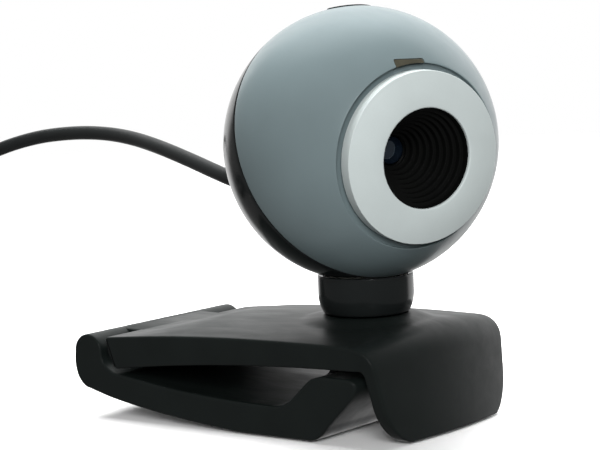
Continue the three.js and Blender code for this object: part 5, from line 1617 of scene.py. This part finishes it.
class WEBCAM_OT_stage(bpy.types.Operator):
    """Makes the pale floor, the soft lights and the camera"""

    bl_idname = "webcam.stage"
    bl_label = "Stage"

    def execute(self, context):
        scene, stage = context.scene, sizes().stage
        half, low = 1.6, -0.4 * MM
        mesh = bpy.data.meshes.new("floor")
        corners = [(-half, -half, low), (half, -half, low), (half, half, low), (-half, half, low)]
        mesh.from_pydata(corners, [], [(0, 1, 2, 3)])
        floor = new_object(mesh)
        mesh.materials.append(self.paper(tuple(stage.floor)))
        floor.visible_glossy = floor.visible_diffuse = False
        self.light(scene)
        self.camera(scene)
        return {"FINISHED"}

    def paper(self, tone):
        """White paper that fades into the white surroundings away from the middle."""
        n = Nodes("floor_paper")
        n.tint(n.span(n.noise(0.05, 3), 0, 1), scaled(tone, 0.99), scaled(tone, 1.01))
        n.set(Roughness=0.9, Specular_IOR_Level=0.1)
        away = n.add("ShaderNodeVectorMath", operation="LENGTH")
        n.link(n.place, away.inputs[0])
        n.link(n.span(away.outputs["Value"], 1, 0, 0.25, 1.0), n.shader.inputs["Alpha"])
        return n.material

    def light(self, scene):
        world = bpy.data.worlds.new("studio")
        world.use_nodes = True
        tree = world.node_tree
        background = tree.nodes["Background"]
        background.inputs["Color"].default_value = (1, 1, 1, 1)
        towards = tree.nodes.new("ShaderNodeVectorMath")
        towards.operation = "DOT_PRODUCT"
        towards.inputs[1].default_value = Vector(BACKDROP_WAY).normalized()
        edge = tree.nodes.new("ShaderNodeMapRange")
        edge.interpolation_type = "SMOOTHSTEP"
        limits = (*BACKDROP_EDGE, FILL, BACKDROP)
        for key, value in zip(("From Min", "From Max", "To Min", "To Max"), limits):
            edge.inputs[key].default_value = value
        place = tree.nodes.new("ShaderNodeTexCoord")
        tree.links.new(place.outputs["Generated"], towards.inputs[0])
        tree.links.new(towards.outputs["Value"], edge.inputs["Value"])
        tree.links.new(edge.outputs["Result"], background.inputs["Strength"])
        seen = tree.nodes.new("ShaderNodeBackground")
        seen.inputs["Color"].default_value = (1, 1, 1, 1)
        path = tree.nodes.new("ShaderNodeLightPath")
        mix = tree.nodes.new("ShaderNodeMixShader")
        tree.links.new(path.outputs["Is Camera Ray"], mix.inputs["Fac"])
        tree.links.new(background.outputs["Background"], mix.inputs[1])
        tree.links.new(seen.outputs["Background"], mix.inputs[2])
        tree.links.new(mix.outputs["Shader"], tree.nodes["World Output"].inputs["Surface"])
        scene.world = world
        middle = (0, 0.01, 0.045)
        area_light("over", (0.25, 0.35, 0.75), middle, (0.9, 0.7), 22)
        area_light("right", (0.75, -0.15, 0.35), middle, (0.5, 0.6), 5)
        area_light("front", (-0.75, -0.55, 0.4), middle, (0.5, 0.5), 10)
        area_light("glint", (-0.42, -0.5, 0.42), middle, (0.12, 0.12), 0.5, shiny=True)
        scene.view_settings.view_transform = "Standard"
        scene.view_settings.look = "None"

    def camera(self, scene):
        """Placed by azimuth, pitch and distance, so that the ball's middle falls right of the view's
        middle and above it, by two shares of the view's width."""
        stage, ball = sizes().stage, sizes().ball
        turn, pitch, roll = stage.camera_turn, stage.camera_pitch, stage.camera_roll
        level = math.cos(pitch)
        ahead = Vector((-math.sin(turn) * level, math.cos(turn) * level, -math.sin(pitch)))
        right = ahead.cross(Vector((0, 0, 1))).normalized()
        up = right.cross(ahead)
        tilted_right = right * math.cos(roll) - up * math.sin(roll)
        tilted_up = right * math.sin(roll) + up * math.cos(roll)
        data = bpy.data.cameras.new("camera")
        data.lens, data.sensor_width = stage.focal / MM, 36
        data.clip_start, data.clip_end = 0.01, 30
        share_right, share_up = 0.101167, 0.135833
        depth_unit = data.sensor_width / data.lens
        offset = (tilted_right * share_right + tilted_up * share_up) * depth_unit
        where = Vector((0, 0, ball.height)) - (ahead + offset) * stage.distance
        camera = bpy.data.objects.new("camera", data)
        facing = Matrix((tilted_right, tilted_up, -ahead)).transposed().to_4x4()
        camera.matrix_world = Matrix.Translation(where) @ facing
        scene.collection.objects.link(camera)
        scene.camera = camera


# ---------------------------------------------------------------- panel and registering
STEPS = [
    WEBCAM_OT_stage, WEBCAM_OT_small_parts, WEBCAM_OT_strap, WEBCAM_OT_plug, WEBCAM_OT_cable,
    WEBCAM_OT_relief, WEBCAM_OT_front_shell, WEBCAM_OT_window_and_button, WEBCAM_OT_rear_shell,
    WEBCAM_OT_focus_ring, WEBCAM_OT_baffle, WEBCAM_OT_lens, WEBCAM_OT_neck, WEBCAM_OT_clip_cover,
    WEBCAM_OT_clip_leg, WEBCAM_OT_pads,
]


class WebcamSettings(bpy.types.PropertyGroup):
    """All the sizes and colours together."""

    ball: PointerProperty(type=BallSizes)
    clip: PointerProperty(type=ClipSizes)
    cable: PointerProperty(type=CableSizes)
    finishes: PointerProperty(type=Finishes)
    stage: PointerProperty(type=StageSizes)


class WEBCAM_PT_panel(bpy.types.Panel):
    """Lists the steps in the 3D view's sidebar"""

    bl_label = "Webcam"
    bl_idname = "WEBCAM_PT_panel"
    bl_space_type = "VIEW_3D"
    bl_region_type = "UI"
    bl_category = "Webcam"

    def draw(self, context):
        for step in STEPS:
            self.layout.operator(step.bl_idname)


CLASSES = [BallSizes, ClipSizes, CableSizes, Finishes, StageSizes, WebcamSettings, *STEPS, WEBCAM_PT_panel]


def register():
    for cls in CLASSES:
        bpy.utils.register_class(cls)
    bpy.types.Scene.webcam = PointerProperty(type=WebcamSettings)


def unregister():
    del bpy.types.Scene.webcam
    for cls in reversed(CLASSES):
        bpy.utils.unregister_class(cls)


def main():
    """Registers the add-on and makes every part in order."""
    register()
    for step in STEPS:
        group, name = step.bl_idname.split(".")
        getattr(getattr(bpy.ops, group), name)()


if __name__ == "__main__":
    main()
